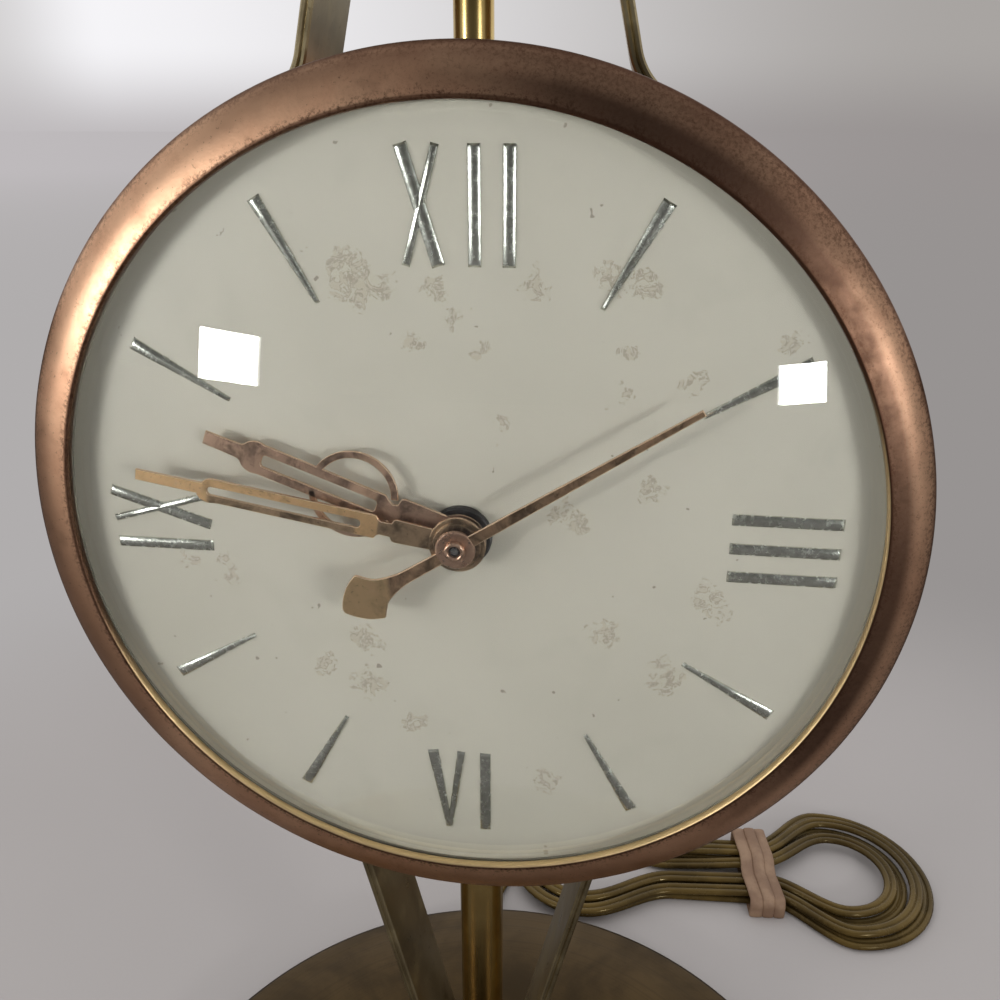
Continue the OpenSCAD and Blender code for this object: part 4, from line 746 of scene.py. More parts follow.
def tail_route():
    """From the last turn's end round a bend to the plug."""
    u0 = -HANK_L - FOLD_L - (TURNS - TURN_BACK) * STEP
    cu, cv, z0 = u0 + TAIL_BEND, PLUG_V - TAIL_BEND, FLOOR_Z + LAYER
    pts = [hank_place(u0, cv * k / 3, z0) for k in (1, 2, 3)]
    pts += [hank_place(*polar(TAIL_BEND, a, cu, cv), z0 + (PLUG_Z - z0) * (180 - a) / 90)
            for a in (157.5, 135, 112.5, 90)]
    return pts + [hank_place(PLUG_U, PLUG_V, PLUG_Z)]


PER_TURN = 150
loops = [hank_point(i / PER_TURN) for i in range(PER_TURN * TURNS + 1)]
route = smooth(drop_route() + loops[:2], 3)[:-4] + loops[:-1]
route += smooth(loops[-2:] + tail_route(), 3)[3:]

# The flat cord lies on its wide side, and turns its wide side sideways where it hangs
cord_frames = []
for run in directions(route):
    flat = run.cross(Z)
    share = min(max((abs(run.z) - 0.5) / 0.4, 0), 1)
    wide = flat.normalized().lerp(X, share) if flat.length > 0.05 else X.copy()
    if flat.length > 0.05 and flat.dot(X) < 0 and share > 0:
        wide = (-flat.normalized()).lerp(X, share)
    wide = (wide - run * wide.dot(run)).normalized()
    cord_frames.append((wide, wide.cross(run)))

CORE_R = CORD_T / 2 - 0.08
CORE_X = CORD_W / 2 - CORE_R
cord_section = arc(CORE_X, 0, CORE_R, -154, 154, 12) + arc(-CORE_X, 0, CORE_R, 26, 334, 12)
lead = build("lead", [sweep(route, cord_frames, cord_section)], CORD, "stand",
             ("cord_drop", "cord_hank"), sharp=50)

# Ribbed sleeve where the lead leaves the case
RIBS, RIB_PITCH = 8, 2.45
sleeve = [(0, EXIT_Z), (3.2, EXIT_Z)]
for i in range(RIBS):
    z = EXIT_Z + 1.4 + i * RIB_PITCH
    r = 3.2 + 0.8 * (z - EXIT_Z) / 22
    sleeve += [(r, z), (r, z + 1.3), (r - 0.55, z + 1.45), (r - 0.55, z + 2.3)]
sleeve += [(4.0, 137.9), (5.0, 138.1), (5.0, 139.2), (3.9, 139.4), (3.9, 140.4), (0, 140.4)]
build("lead_sleeve", [lathe(sleeve, 40, (0.0, EXIT_Y))], BLACK, "stand", ("strain_relief",),
      bevel=0.12, segments=1)


def plug_parts():
    """Moulded two-pin plug: rounded grip, ribbed neck and two blades."""
    def at(x, y, z):
        return tuple(hank_place(PLUG_U + x, PLUG_V + y, z))

    def rounded(half_w, half_t, r, n=5):
        x, y = half_w - r, half_t - r
        return [p for cx, cy, a in ((x, y, 0), (-x, y, 90), (-x, -y, 180), (x, -y, 270))
                for p in arc(cx, cy, r, a, a + 90, n)]

    # along the plug: distance, half width, half thickness, corner radius
    stations = [(0.0, 4.0, 3.6, 3.4), (1.0, 4.3, 3.9, 3.6)]
    for k in range(5):
        x = 2.0 + k * 1.8
        w = 4.6 + 0.55 * k
        stations += [(x, w, w * 0.92, 3.6), (x + 0.9, w, w * 0.92, 3.6),
                     (x + 1.1, w - 0.6, w * 0.92 - 0.6, 3.2), (x + 1.6, w - 0.6, w * 0.92 - 0.6, 3.2)]
    stations += [(11.2, 8.2, 6.6, 4.0), (12.6, 11.0, 7.3, 4.2), (15.0, 12.6, 7.8, 4.2),
                 (20.0, 12.9, 7.9, 4.0), (28.6, 12.9, 7.9, 3.6), (29.6, 12.4, 7.4, 3.4), (30.0, 11.6, 6.8, 3.2)]
    body = loft([[at(x, a, PLUG_Z + b) for a, b in rounded(w, t, min(r, w - 0.1, t - 0.1))]
                 for x, w, t, r in stations])
    blades = []
    outline = [(29.0, -3.2), (44.6, -3.2), (46.6, -1.8), (46.9, 0.0), (46.6, 1.8), (44.6, 3.2), (29.0, 3.2)]
    pierced = circle(1.5, 16, 42.5)[::-1]
    n, h = len(outline), len(pierced)
    for side in (-1, 1):
        pts = [at(x, side * BLADE_Y + y, PLUG_Z + z) for y in (-BLADE_T / 2, BLADE_T / 2)
               for x, z in outline + pierced]
        faces = row_faces(0, n + h, n) + row_faces(n, n + h + n, h)
        for base in (0, n + h):
            # the blade's side is split above and below its hole
            upper = (0, 1, 2, 3, *range(n, n + h // 2 + 1))
            under = (3, 4, 5, 6, 0, *(n + k % h for k in range(h // 2, h + 1)))
            faces += [tuple(base + i for i in part) for part in (upper, under)]
        blades.append((pts, faces))
    return body, blades


plug_body_part, plug_blade_parts = plug_parts()
plug_grip = build("plug_grip", [plug_body_part], PLUG, "stand", ("plug",), sharp=50)
plug_blades = build("plug_blades", plug_blade_parts, BRASS, "stand", sharp=30)


def band_loop(u, width, lift):
    """One turn of the rubber band, lying round the strands of the hank's waist."""
    half, top, low, table = 20.0, 6.35 + lift, 0.12, 0.05
    path = arc(half - 2.2, top - 2.2, 2.2, 0, 90, 6)
    path += [(x, top - 0.25 * math.cos(x * 0.55) ** 2) for x in (10, 6, 2, -2, -6, -10)]
    path += arc(-half + 2.2, top - 2.2, 2.2, 90, 180, 6) + arc(-half + 0.8, low + 0.8, 0.8, 180, 270, 4)
    path += arc(half - 0.8, low + 0.8, 0.8, 270, 360, 4)
    line = [hank_place(u + 0.5 * math.sin(v * 0.3), v, z) for v, z in path]
    along = hank_place(1, 0, 0) - hank_place(0, 0, 0)
    frames = []
    for i in range(len(line)):
        run = (line[(i + 1) % len(line)] - line[i - 1]).normalized()
        frames.append((along, run.cross(along)))
    right_half = [(0, 0.95), (width / 2 - 0.5, 0.8), (width / 2, 0.35), (width / 2, -0.1), (width / 2 - 0.4, -0.12)]
    shape = right_half + [(-x, y) for x, y in reversed(right_half[1:])]
    points, faces = sweep(line, frames, shape, closed=True)
    return [(x, y, max(z, table)) for x, y, z in points], faces


hank_band = build("hank_band", [band_loop(16.0, 4.8, 0.0), band_loop(20.4, 4.4, 0.5), band_loop(24.4, 4.2, 0.1)],
                  BAND, "stand", ("cord_band",), sharp=60)

# ---- base and stand
SHEET = 1.2
shell = [(BASE_R - SHEET, 1.5), (BASE_R - 0.3, 1.5), (BASE_R, 1.8), (BASE_R, BASE_RIM - SHOULDER)]
shell += arc(BASE_R - SHOULDER, BASE_RIM - SHOULDER, SHOULDER, 6, 72, 12)
shell += [(r, dome_z(r)) for r in (FLAT_R + DOME_RUN * (1 - i / 24) for i in range(1, 25))]
shell += [(2.5, BASE_TOP), (2.5, BASE_TOP - SHEET), (FLAT_R, BASE_TOP - SHEET)]
shell += [(FLAT_R + (DOME_RUN - 2.2) * i / 12, BASE_RIM - SHEET + DOME_RISE * (1 - (i / 12) ** 2))
          for i in range(1, 13)]
shell += [(BASE_R - SHEET, BASE_RIM - 6)]
lathed("base_shell", shell, SPUN_BASE, "brass", ("base_dish",))

FOOT_TOP, FOOT_END = 66.138, 46.138
TOP_LOW, TOP_HIGH = 357.862, 377.862
HUB_R, FLAT_X = 11, 7.6

foot = [(4.85, 23), (17, 23), (17, 24.2), (16.4, 25.2), (14.6, 26), (12.6, 26.4), (12.2, 27.2), (12.6, 28),
        (11.6, 28.6), (HUB_R, 29.6), (HUB_R, 43.6), (10.4, 44.4), (10.4, 45.2), (HUB_R, 45.6),
        (HUB_R, FOOT_END), (4.85, FOOT_END)]
lathed("foot_turning", foot, BRASS, "brass", ("foot_hub",), n=96)
# the hubs' upright blocks are round bars with a flat at each side for the straps
corner = math.degrees(math.acos(FLAT_X / HUB_R))
flatted = arc(0, 0, HUB_R, corner, 180 - corner, 14) + arc(0, 0, HUB_R, 180 + corner, 360 - corner, 14)
build("foot_block", [prism(flatted, upright, FOOT_END, FOOT_TOP)], BRASS, "stand", bevel=0.4)
build("top_block", [prism(flatted, upright, TOP_LOW, TOP_HIGH)], BRASS, "stand", ("top_hub",), bevel=0.4)
for name, r_in, r_out, low, high, slot_name, node in (
        ("column_low", 4.05, 4.75, 23.2, 139.4, "dark_brass", "lower_column"),
        ("column_high", 2.5, 3.2, 284.6, TOP_HIGH, "brass", "upper_column")):
    lathed(name, [(r_in, low), (r_out, low), (r_out, high), (r_in, high)], COLUMN, slot_name, (node,), n=96)

# Straps: the same middle line as the solids', finer, with a groove along each narrow edge
DRUM_R, WRAP_R, BEND_R, LEAN, NECK_X, MID_X = 72.5, 73.8, 10.0, 0.229, 25.4, 8.6
STRAP_W, STRAP_T = 19.0, 2.0


def strap_half():
    """The strap's middle line from the drum's side up to its end at the hub."""
    lean = math.atan(LEAN)
    reach = NECK_X * math.cos(lean) + DRUM_R * math.sin(lean)
    start = lean + math.acos((reach + BEND_R) / (WRAP_R + BEND_R))
    cx, cy = (WRAP_R + BEND_R) * math.cos(start), (WRAP_R + BEND_R) * math.sin(start)
    pts = [(WRAP_R * math.cos(start * i / 40), WRAP_R * math.sin(start * i / 40)) for i in range(41)]
    pts += [(cx + BEND_R * math.cos(a), cy + BEND_R * math.sin(a)) for a in
            [start + math.pi + (lean - start) * i / 16 for i in range(1, 17)]]
    meet = DRUM_R + (NECK_X - MID_X) / LEAN
    x1, z1 = pts[-1]
    x2, z2 = MID_X + LEAN, meet - 1.0
    pts += [(x1 + (x2 - x1) * k / 10, z1 + (z2 - z1) * k / 10) for k in range(1, 11)]
    return pts + [(MID_X + 0.3 * LEAN, meet), (MID_X, meet + 1.0), (MID_X, meet + 20)]


half = strap_half()
strap_line = [(x, -z) for x, z in reversed(half[1:])] + half
wide, thick = STRAP_W / 2, STRAP_T / 2
strap_section = [(0.3 - thick, -wide), (-0.25, -wide), (0.0, 0.3 - wide), (0.25, -wide), (thick - 0.3, -wide),
                 (thick, 0.3 - wide), (thick, wide - 0.3)]
strap_section += [(-x, -y) for x, y in strap_section]
for side, name in ((1, "right_strap"), (-1, "left_strap")):
    line = [Vector((side * x, 0, DIAL_H + z)) for x, z in strap_line]
    frames = [(Vector((run.z, 0, -run.x)), Y) for run in directions(line)]
    build(name.replace("_", "_brass_"), [sweep(line, frames, strap_section)], STRAP, "stand", (name,),
          sharp=30)

screws = []
for s in (-1, 1):
    for x, z in ((FLAT_X + STRAP_T, FOOT_TOP - 10), (FLAT_X + STRAP_T, TOP_LOW + 10), (WRAP_R + 1.0, DIAL_H)):
        screws += screw((s * x, 0, z), (s, 0, 0), 2.8, 1.6, 0.6, (0, 0.6, 0.8))
build("strap_screw_heads", screws, BRASS, "stand", ("strap_screws",), sharp=35)

# ---- case
LIP_R, LIP_H, RIM_H, BEZEL_R = 67.3, 4.5, 1.9, 75.0
bezel_profile = [(LIP_R + 0.4, 2.8), (72.6, 2.8), (72.6, -6), (73.4, -6), (73.4, 1.0), (74.2, 1.0), (74.2, -0.4),
                 (74.45, -0.5), (74.8, -0.5), (BEZEL_R, -0.3), (BEZEL_R, RIM_H - 0.8)]
bezel_profile += arc(BEZEL_R - 0.7, RIM_H - 0.75, 0.7, 4, 52, 5)
face_run = BEZEL_R - 0.3 - LIP_R - 0.7
drop = LIP_H - RIM_H + 0.1
for i in range(1, 16):
    s = 1 - i / 16
    bezel_profile.append((BEZEL_R - 0.3 - face_run * i / 16, LIP_H - drop * (0.42 * s + 0.58 * s ** 2.8)))
bezel_profile += arc(LIP_R + 0.45, LIP_H - 0.4, 0.45, 70, 180, 7)
bezel_profile += [(LIP_R, 3.1)]
points, faces = lathe(bezel_profile, 256, facing=True)
# dents: right and up from the dial's centre, size and depth
DENTS = ((-74.2, 24.5, 1.5, 0.35), (-30.0, 68.4, 0.8, 0.12), (55.0, 48.0, 1.2, 0.12), (-57.5, -43.0, 1.2, 0.14))
worked = []
for x, y, z in points:
    h = DIAL_Y - y
    if h > 1.2:
        shift = 0.05 * noise.noise(Vector((x, 0.0, z)) * 0.11)
        for dx, dz, size, depth in DENTS:
            d = math.hypot(x - dx, z - DIAL_H - dz) / size
            shift -= depth * math.exp(-d * d)
        y -= shift
    worked.append((x, y, z))
build("bezel_ring", [(worked, faces)], BEZEL, "stand", ("bezel",), sharp=55)

# Rear cover, pressed from sheet; heights here run backwards from the drum's back
DRUM_BACK, COVER_T, COVER_RISE, VENT_R, SHAFT_R = 20.8, 1.0, 3.0, 2.0, 1.2
KNOB_X, KNOB_Z = 12.471, 7.2


def backward(profile):
    return [(r, DIAL_Y - DRUM_BACK - h) for r, h in profile]


VENTS_AT, COVER_SCREWS_AT = 48, 69
vents = [circle(VENT_R, 28, *polar(VENTS_AT, a)) for a in (*range(240, 301, 15), *range(60, 121, 15))]
middle_plate = plate([circle(56.6, 160), circle(SHAFT_R + 0.8, 28, KNOB_X, KNOB_Z)] + vents, behind, COVER_RISE,
                     COVER_RISE + COVER_T, 0.2)
pressed = [(56.4, 3.0), (57.0, 3.0), (59.8, 0.2), (60.4, 0.0), (71.8, 0.0), (72.0, 0.2), (72.0, 0.7), (71.7, 1.0),
           (61.8, 1.0), (61.0, 1.15), (60.4, 1.5), (58.3, 3.6), (57.6, 3.95), (56.9, 4.0), (56.4, 4.0)]
build("cover_pressing", [middle_plate, lathe(backward(pressed), 160, facing=True)], COPPER, "stand",
      ("rear_cover",), sharp=35)
cover_heads = []
for a in (90, 210, 330):
    cover_heads += screw(behind(*polar(COVER_SCREWS_AT, a), COVER_T), (0, 1, 0), 2.0, 1.4, 0.5, (0.8, 0, 0.6))
build("cover_screw_heads", cover_heads, STEEL, "stand", sharp=35)

KNOB_R, RIDGE, RIDGES, KNOB_STEPS = 7.72, 0.26, 20, 240
knob_edge = [polar(KNOB_R + polar(RIDGE, RIDGES * a)[0], a, KNOB_X, KNOB_Z)
             for a in (360 * i / KNOB_STEPS for i in range(KNOB_STEPS))]
knob_boss = [(0, 11.4), (6.5, 11.4), (6.5, 12.6), (6.2, 12.9), (5.6, 13.0), (5.0, 12.8), (4.4, 12.3), (0, 12.2)]
build("knob_turning", [plate([knob_edge], behind, 5.0, 12.0, 0.55),
                       lathe(backward(knob_boss), 64, (KNOB_X, KNOB_Z), facing=True)], BLACK, "setting",
      ("setting_knob",), sharp=35)

GLASS_EDGE, GLASS_BACK, GLASS_T, GLASS_RISE = 67.1, 1.35, 1.4, 12.0
sphere = (GLASS_EDGE ** 2 + GLASS_RISE ** 2) / (2 * GLASS_RISE)


def glass_height(r, thick=0.0):
    return GLASS_BACK + GLASS_T + GLASS_RISE - sphere + math.sqrt((sphere - thick) ** 2 - r * r)


glass_profile = [(71.1, GLASS_BACK), (71.1, GLASS_BACK + GLASS_T), (GLASS_EDGE, GLASS_BACK + GLASS_T)]
glass_profile += [(GLASS_EDGE * i / 30, glass_height(GLASS_EDGE * i / 30)) for i in range(29, -1, -1)]
glass_profile += [(65.8 * i / 30, max(glass_height(65.8 * i / 30, GLASS_T), GLASS_BACK)) for i in range(31)]
build("glass_dome", [lathe(glass_profile, 160, facing=True)], GLASS, "stand", ("glass",), sharp=12)

# Winding of the coil, with a groove between each two turns
COIL_Y, COIL_Z = 2.8, DIAL_H - 37.0
winding = [(5.2, -12), (9.6, -12)]
for i in range(24):
    winding += [(9.6, -12 + i), (10.0, -11.75 + i), (10.0, -11.25 + i), (9.6, -11 + i)]
winding += [(5.2, 12)]
coil_points, coil_faces = lathe(winding, 48)
build("coil_winding", [([(z, COIL_Y + x, COIL_Z + y) for x, y, z in coil_points], coil_faces)], COIL, "stand",
      ("stator_coil",), sharp=50)

# ---- hour marks
MARK_H, MARK_HALF, MARK_AT = 0.5, 8.7, 52.7


def mark_bar(a, b, wa, wb, turn, shift=(0.0, 0.0)):
    """A raised half-round stroke with cut ends, between two places on the dial."""
    ca, sa = polar(1, turn)

    def at(x, z, h):
        x, z = x + shift[0], z + shift[1]
        return front(x * ca - z * sa, x * sa + z * ca, h)

    dx, dz = unit2(b[0] - a[0], b[1] - a[1])
    size = math.hypot(b[0] - a[0], b[1] - a[1])
    profile = [(-1.0, 0.0), (-0.92, 0.45), (-0.6, 0.82), (0.0, 1.0), (0.6, 0.82), (0.92, 0.45), (1.0, 0.0)]
    cuts = [(0.0, 0.0), (0.35 / size, 0.85), (0.7 / size, 1.0)]
    rows = []
    for s, lift in cuts + [(0.25, 1.0), (0.75, 1.0)] + [(1 - s, h) for s, h in reversed(cuts)]:
        w = (wa + (wb - wa) * s) / 2
        px, pz = a[0] + (b[0] - a[0]) * s, a[1] + (b[1] - a[1]) * s
        rows.append([at(px - dz * w * q, pz + dx * w * q, MARK_H * h * lift + 0.004) for q, h in profile])
    return loft(rows)


# The numerals: turn and side of their place, then each stroke's place at its two ends and its widths
NUMERALS = (
    (0, 1, ((-8.2, -2.8, 2.1, 2.1), (-3.0, -7.9, 1.3, 1.3), (2.7, 2.7, 2.0, 2.0), (7.9, 7.9, 2.0, 2.0))),
    (-90, 1, ((-5.2, -5.2, 2.0, 2.0), (-0.1, -0.1, 2.0, 2.0), (4.9, 4.9, 2.0, 2.0))),
    (0, -1, ((-6.0, -3.2, 2.1, 1.2), (-0.7, -3.1, 1.5, 1.0), (3.8, 3.8, 2.0, 2.0))),
    (90, 1, ((-4.6, -4.6, 2.0, 2.0), (5.2, -0.6, 2.0, 2.0), (-0.2, 4.8, 1.3, 1.3))))
marks = [mark_bar((0, 44), (0, 62), 0.8, 2.2, -30 * h) for h in (1, 2, 4, 5, 7, 8, 10, 11)]
marks += [mark_bar((a, MARK_HALF), (b, -MARK_HALF), wa, wb, place, (0, side * MARK_AT))
          for place, side, strokes in NUMERALS for a, b, wa, wb in strokes]
build("raised_marks", marks, MARK, "stand", ("hour_marks",), sharp=24)


# ---- hands
def hand_plane(angle):
    """Placing for a hand that points up in its own drawing."""
    c, s = polar(1, angle)
    return lambda x, y, h: front(x * c + y * s, -x * s + y * c, h)


def both_sides(right, left=None):
    return right + [(-x, y) for x, y in reversed(left or right)]


def curve2(points, n):
    """A drawn outline made smooth between its points."""
    return [(p.x, p.y) for p in smooth([Vector((x, y, 0)) for x, y in points], n)]


def slot(x0, x1, y0, y1, r):
    """A long opening with rounded corners."""
    return (arc(x1 - r, y1 - r, r, 0, 90, 3) + arc(x0 + r, y1 - r, r, 90, 180, 3)
            + arc(x0 + r, y0 + r, r, 180, 270, 3) + arc(x1 - r, y0 + r, r, 270, 360, 3))


HAND_EDGE = 0.13
HOUR_LOW, MINUTE_LOW, SECOND_LOW = 2.1, 3.9, 5.9
hour, minute, second = hand_plane(HOUR_TURN), hand_plane(MINUTE_TURN), hand_plane(SECOND_TURN)

hour_side = [(3.3, 3.2), (3.25, 10.6), (3.0, 11.2), (1.75, 11.5), (1.5, 12.3), (1.9, 13.0), (2.6, 13.9),
             (2.7, 34.9)]
hour_side += curve2([(2.7, 35.2), (2.85, 36.6), (2.35, 37.9), (1.45, 38.8), (1.25, 40.2), (1.15, 45.2)], 5)
hour_parts = [plate([both_sides(hour_side), slot(-1.05, 1.05, 14.8, 35.1, 0.6)], hour, HOUR_LOW, HOUR_LEVEL,
                    HAND_EDGE),
              flat_ring(hour, 0, 0, 4.6, 2.15, HOUR_LOW + 0.05, HOUR_LEVEL + 0.06)]
for middle, reach in ((0, 74), (180, 73)):
    ear = arc(0.45, 19, 7.6, middle - reach, middle + reach, 30)
    ear += arc(0.45, 19, 6.4, middle + reach, middle - reach, 30)
    hour_parts.append(plate([ear], hour, HOUR_LOW + 0.03, HOUR_LEVEL, HAND_EDGE))
build("hour_pointer", hour_parts, HAND_HOUR, "hours", ("hour_hand",))

near = [(1.9, 3.2), (1.95, 6.0), (2.1, 10.4), (1.9, 10.9), (1.25, 11.2), (1.2, 13.1), (1.45, 13.5), (2.1, 13.9)]
right_edge = near + [(2.1, 41.4)]
right_edge += curve2([(2.1, 42.0), (1.85, 42.9), (1.25, 43.6), (1.05, 44.6), (0.95, 55.0)], 4)
left_edge = near + [(2.1, 40.6)]
left_edge += curve2([(2.2, 41.6), (2.3, 42.5), (1.9, 43.7), (1.2, 44.4), (1.0, 45.2), (0.95, 55.0)], 4)
build("minute_pointer", [plate([both_sides(right_edge, left_edge), slot(-0.8, 0.65, 16.4, 42.6, 0.6)], minute,
                               MINUTE_LOW, MINUTE_LEVEL, HAND_EDGE)],
      HAND_GOLD, "minutes", ("minute_hand",))
hub = [(1.35, 3.9), (4.75, 3.92), (4.75, 4.36), (4.6, 4.5), (4.15, 4.5), (4.05, 4.42), (3.95, 4.5), (3.9, 4.74),
       (3.78, 4.86), (3.1, 4.86), (3.0, 4.78), (1.35, 4.78)]
lathed("minute_hub", hub, HAND_GOLD, "hand_gold", body="minutes", n=96, sharp=30, facing=True)
build("hub_slit", [prism([(-4.0, -1.0), (-3.2, -0.8), (-3.2, -0.5), (-4.0, -0.62)], minute, 4.8, 4.9)], BLACK,
      "minutes")

paddle = [(1.05, -3.0), (1.15, -10.6)]
paddle += curve2([(1.15, -10.6), (1.4, -12.1), (1.7, -13.3), (2.5, -15.3), (4.45, -17.2)], 4)
paddle += curve2([(4.45, -17.2), (4.4, -17.9), (3.4, -20.0), (1.9, -21.8), (0.4, -23.0)], 4)[1:]
second_parts = [plate([both_sides(side)], second, SECOND_LOW, SECOND_LEVEL, 0.17)
                for side in ([(1.0, 3.0), (0.5, 45.0)], paddle)]
build("second_pointer", second_parts, HAND_SECOND, "seconds", ("second_hand",))
eyelet = [(1.75, SECOND_LOW), (3.3, SECOND_LOW), (3.3, SECOND_LEVEL - 0.1), (3.15, SECOND_LEVEL + 0.08),
          (2.9, SECOND_LEVEL + 0.16), (2.3, SECOND_LEVEL + 0.1), (2.0, SECOND_LEVEL + 0.05),
          (1.75, SECOND_LEVEL + 0.05)]
rim = [(0.95, 6.2), (1.7, 6.2), (1.7, 7.1), (1.6, 7.3), (1.35, 7.38), (1.1, 7.3), (0.95, 7.05)]
floor = [(0, 6.1), (1.2, 6.1), (1.2, 6.5), (0.5, 6.6), (0, 6.7)]
nut = [(3.7, 0.0), (5.3, 0.0), (5.3, 0.9), (5.0, 1.2), (4.1, 1.2), (3.7, 1.0)]
lathed("second_eyelet", eyelet, EYELET, "hand_dark", body="seconds", n=64, sharp=32, facing=True)
lathed("eyelet_rim", rim, EYELET, "brass", body="seconds", n=48, sharp=60, facing=True)
lathed("eyelet_floor", floor, BLACK, "black", body="seconds", n=32, sharp=60, facing=True)
lathed("bush_nut", nut, BLACK, "black", ("dial_nut",), n=48, sharp=40, facing=True)

# ---- scales
PIVOT_Z, BLOCK_TOP = 392.088, 404.314
EYE_Z, LINK_Z, HOOK_Z, RIM_Z = 387.088, 378.231, 371.481, 252.45
RING_R, RING_WIRE, HANGER_R = 4.2, 1.5, 3.6

# heights above the block's top
finial = [(0, -4), (2, -4), (2, 0), (6.1, 0), (6.5, 0.5), (6.4, 1.3), (5.0, 1.9), (3.2, 2.6), (2.4, 3.6)]
finial += arc(0, 8.6, 5.0, -62, 66, 18)
finial += [(1.8, 14.2), (1.45, 16), (1.0, 20), (0.6, 23.4), (0.3, 23.9), (0, 24)]
lathed("finial_turning", [(r, BLOCK_TOP + h) for r, h in finial], BRASS, "brass", ("finial",), n=64)

# Fulcrum block with the beam's slot through it
BLOCK_R, SLOT_HALF, SLOT_Y = 8.0, 7.026, 2.2
slot_low, slot_high = PIVOT_Z - SLOT_HALF, PIVOT_Z + SLOT_HALF
block_foot = [(0, TOP_HIGH), (9.5, TOP_HIGH), (9.5, TOP_HIGH + 1.3), (9.1, TOP_HIGH + 1.9), (8.4, TOP_HIGH + 2.1),
              (BLOCK_R, TOP_HIGH + 2.5), (BLOCK_R, slot_low), (0, slot_low)]
block_head = [(0, slot_high), (BLOCK_R, slot_high), (BLOCK_R, BLOCK_TOP - 0.9), (7.75, BLOCK_TOP - 0.3),
              (7.1, BLOCK_TOP), (0, BLOCK_TOP)]
open_by = math.degrees(math.asin(SLOT_Y / BLOCK_R))
cheeks = [prism(arc(0, 0, BLOCK_R, a + open_by, a + 180 - open_by, 45), upright, slot_low, slot_high)
          for a in (0, 180)]
build("fulcrum_block", [lathe(block_foot, 96), lathe(block_head, 96)] + cheeks, BRASS, "stand",
      ("fulcrum",), sharp=35)

BEAM_STEPS, BEAM_T, EYE_R, EYE_BORE = 60, 3.0, 4.2, 1.6
MID_H, END_H = 4.2, 1.9


def beam_edge(x, side):
    """The beam's lower or upper edge: an arch that tapers to the eyes."""
    share = abs(x) / PAN_X
    middle = PIVOT_Z - 5.0 * share ** 2 + 8.0 * math.sin(math.pi * share)
    return x, middle + side * (MID_H + (END_H - MID_H) * share)


xs = [PAN_X * (i / BEAM_STEPS) * 0.985 for i in range(-BEAM_STEPS, BEAM_STEPS + 1)]
beam_outline = [beam_edge(x, -1) for x in xs] + [beam_edge(x, 1) for x in reversed(xs)]
beam_parts = [prism(beam_outline, beam_plane, -BEAM_T / 2, BEAM_T / 2)]
beam_parts += [flat_ring(beam_plane, s * PAN_X, EYE_Z, EYE_R, EYE_BORE, -BEAM_T / 2, BEAM_T / 2, 40)
               for s in (-1, 1)]
build("beam_bar", beam_parts, BRASS, "balance", ("beam",), bevel=0.35)

for s, side in ((-1, "left"), (1, "right")):
    build(side + "_ring_wire", [ring((s * PAN_X, 0, LINK_Z + RING_R), RING_R, RING_WIRE, Y, Z)], BRASS,
          side + "_ring", (side + "_link",))
    build(side + "_hanger_wire", [ring((s * PAN_X, 0, HOOK_Z + RING_R), RING_R, RING_WIRE, X, Z)], BRASS,
          side + "_hanger", (side + "_hook",))

RING_STEP = RING_WIRE + 0.15
HANGER_Z = HOOK_Z + RING_STEP - 2 * HANGER_R
PLATE_Z = HANGER_Z - 3.4
CHAIN_WIRE, LINK_L, LINK_HALF, LINKS = 1.1, 6.4, 1.75, 19
CHAIN_TOP_R, CHAIN_FOOT_R, PITCH = 4.4, 43.25, 6.2
CHAIN_TOP_Z = PLATE_Z + CHAIN_WIRE / 2 + 0.1
CHAIN_L = LINKS * PITCH + CHAIN_WIRE + 0.2
TILT = math.asin((CHAIN_FOOT_R - CHAIN_TOP_R) / CHAIN_L)


def chain_link(origin, down, wide):
    """A long round link hanging along down from its upper wire's middle."""
    straight = LINK_L + CHAIN_WIRE - 2 * LINK_HALF
    thick = down.cross(wide)
    path, frames = [], []
    for end, start in ((0, 0), (1, 180)):
        centre = origin + down * (LINK_HALF + end * straight)
        for i in range(9):
            c, s = polar(1, start + 180 * i / 8)
            out = wide * c - down * s
            path.append(centre + out * LINK_HALF)
            frames.append((out, thick))
    return sweep(path, frames, circle(CHAIN_WIRE / 2, 8), closed=True)


def cap(r, rise, steps, low):
    """A bowl's curve from its middle out to a radius, its lowest point at low."""
    sphere_r = (r ** 2 + rise ** 2) / (2 * rise)
    return [(x, low + sphere_r - math.sqrt(sphere_r ** 2 - x ** 2)) for x in (r * i / steps for i in range(steps))]


def bowl(x):
    """The spun pan: a shallow bowl with a flat flange and a rolled edge."""
    r0, depth, t = 38.5, 15.0, 0.9
    out = cap(r0, depth, 24, RIM_Z - depth)
    out += [(r0, RIM_Z - 1.1), (r0 + 0.6, RIM_Z - 0.9), (42.9, RIM_Z - 0.9)]
    out += arc(43.0, RIM_Z - 0.45, 0.5, -80, 80, 6)
    out += [(r0 + 0.2, RIM_Z), (r0 - 0.5, RIM_Z - 0.3)]
    out += reversed(cap(r0 - t, depth - t, 24, RIM_Z - depth + t))
    return lathe(out, 128, (x, 0.0))


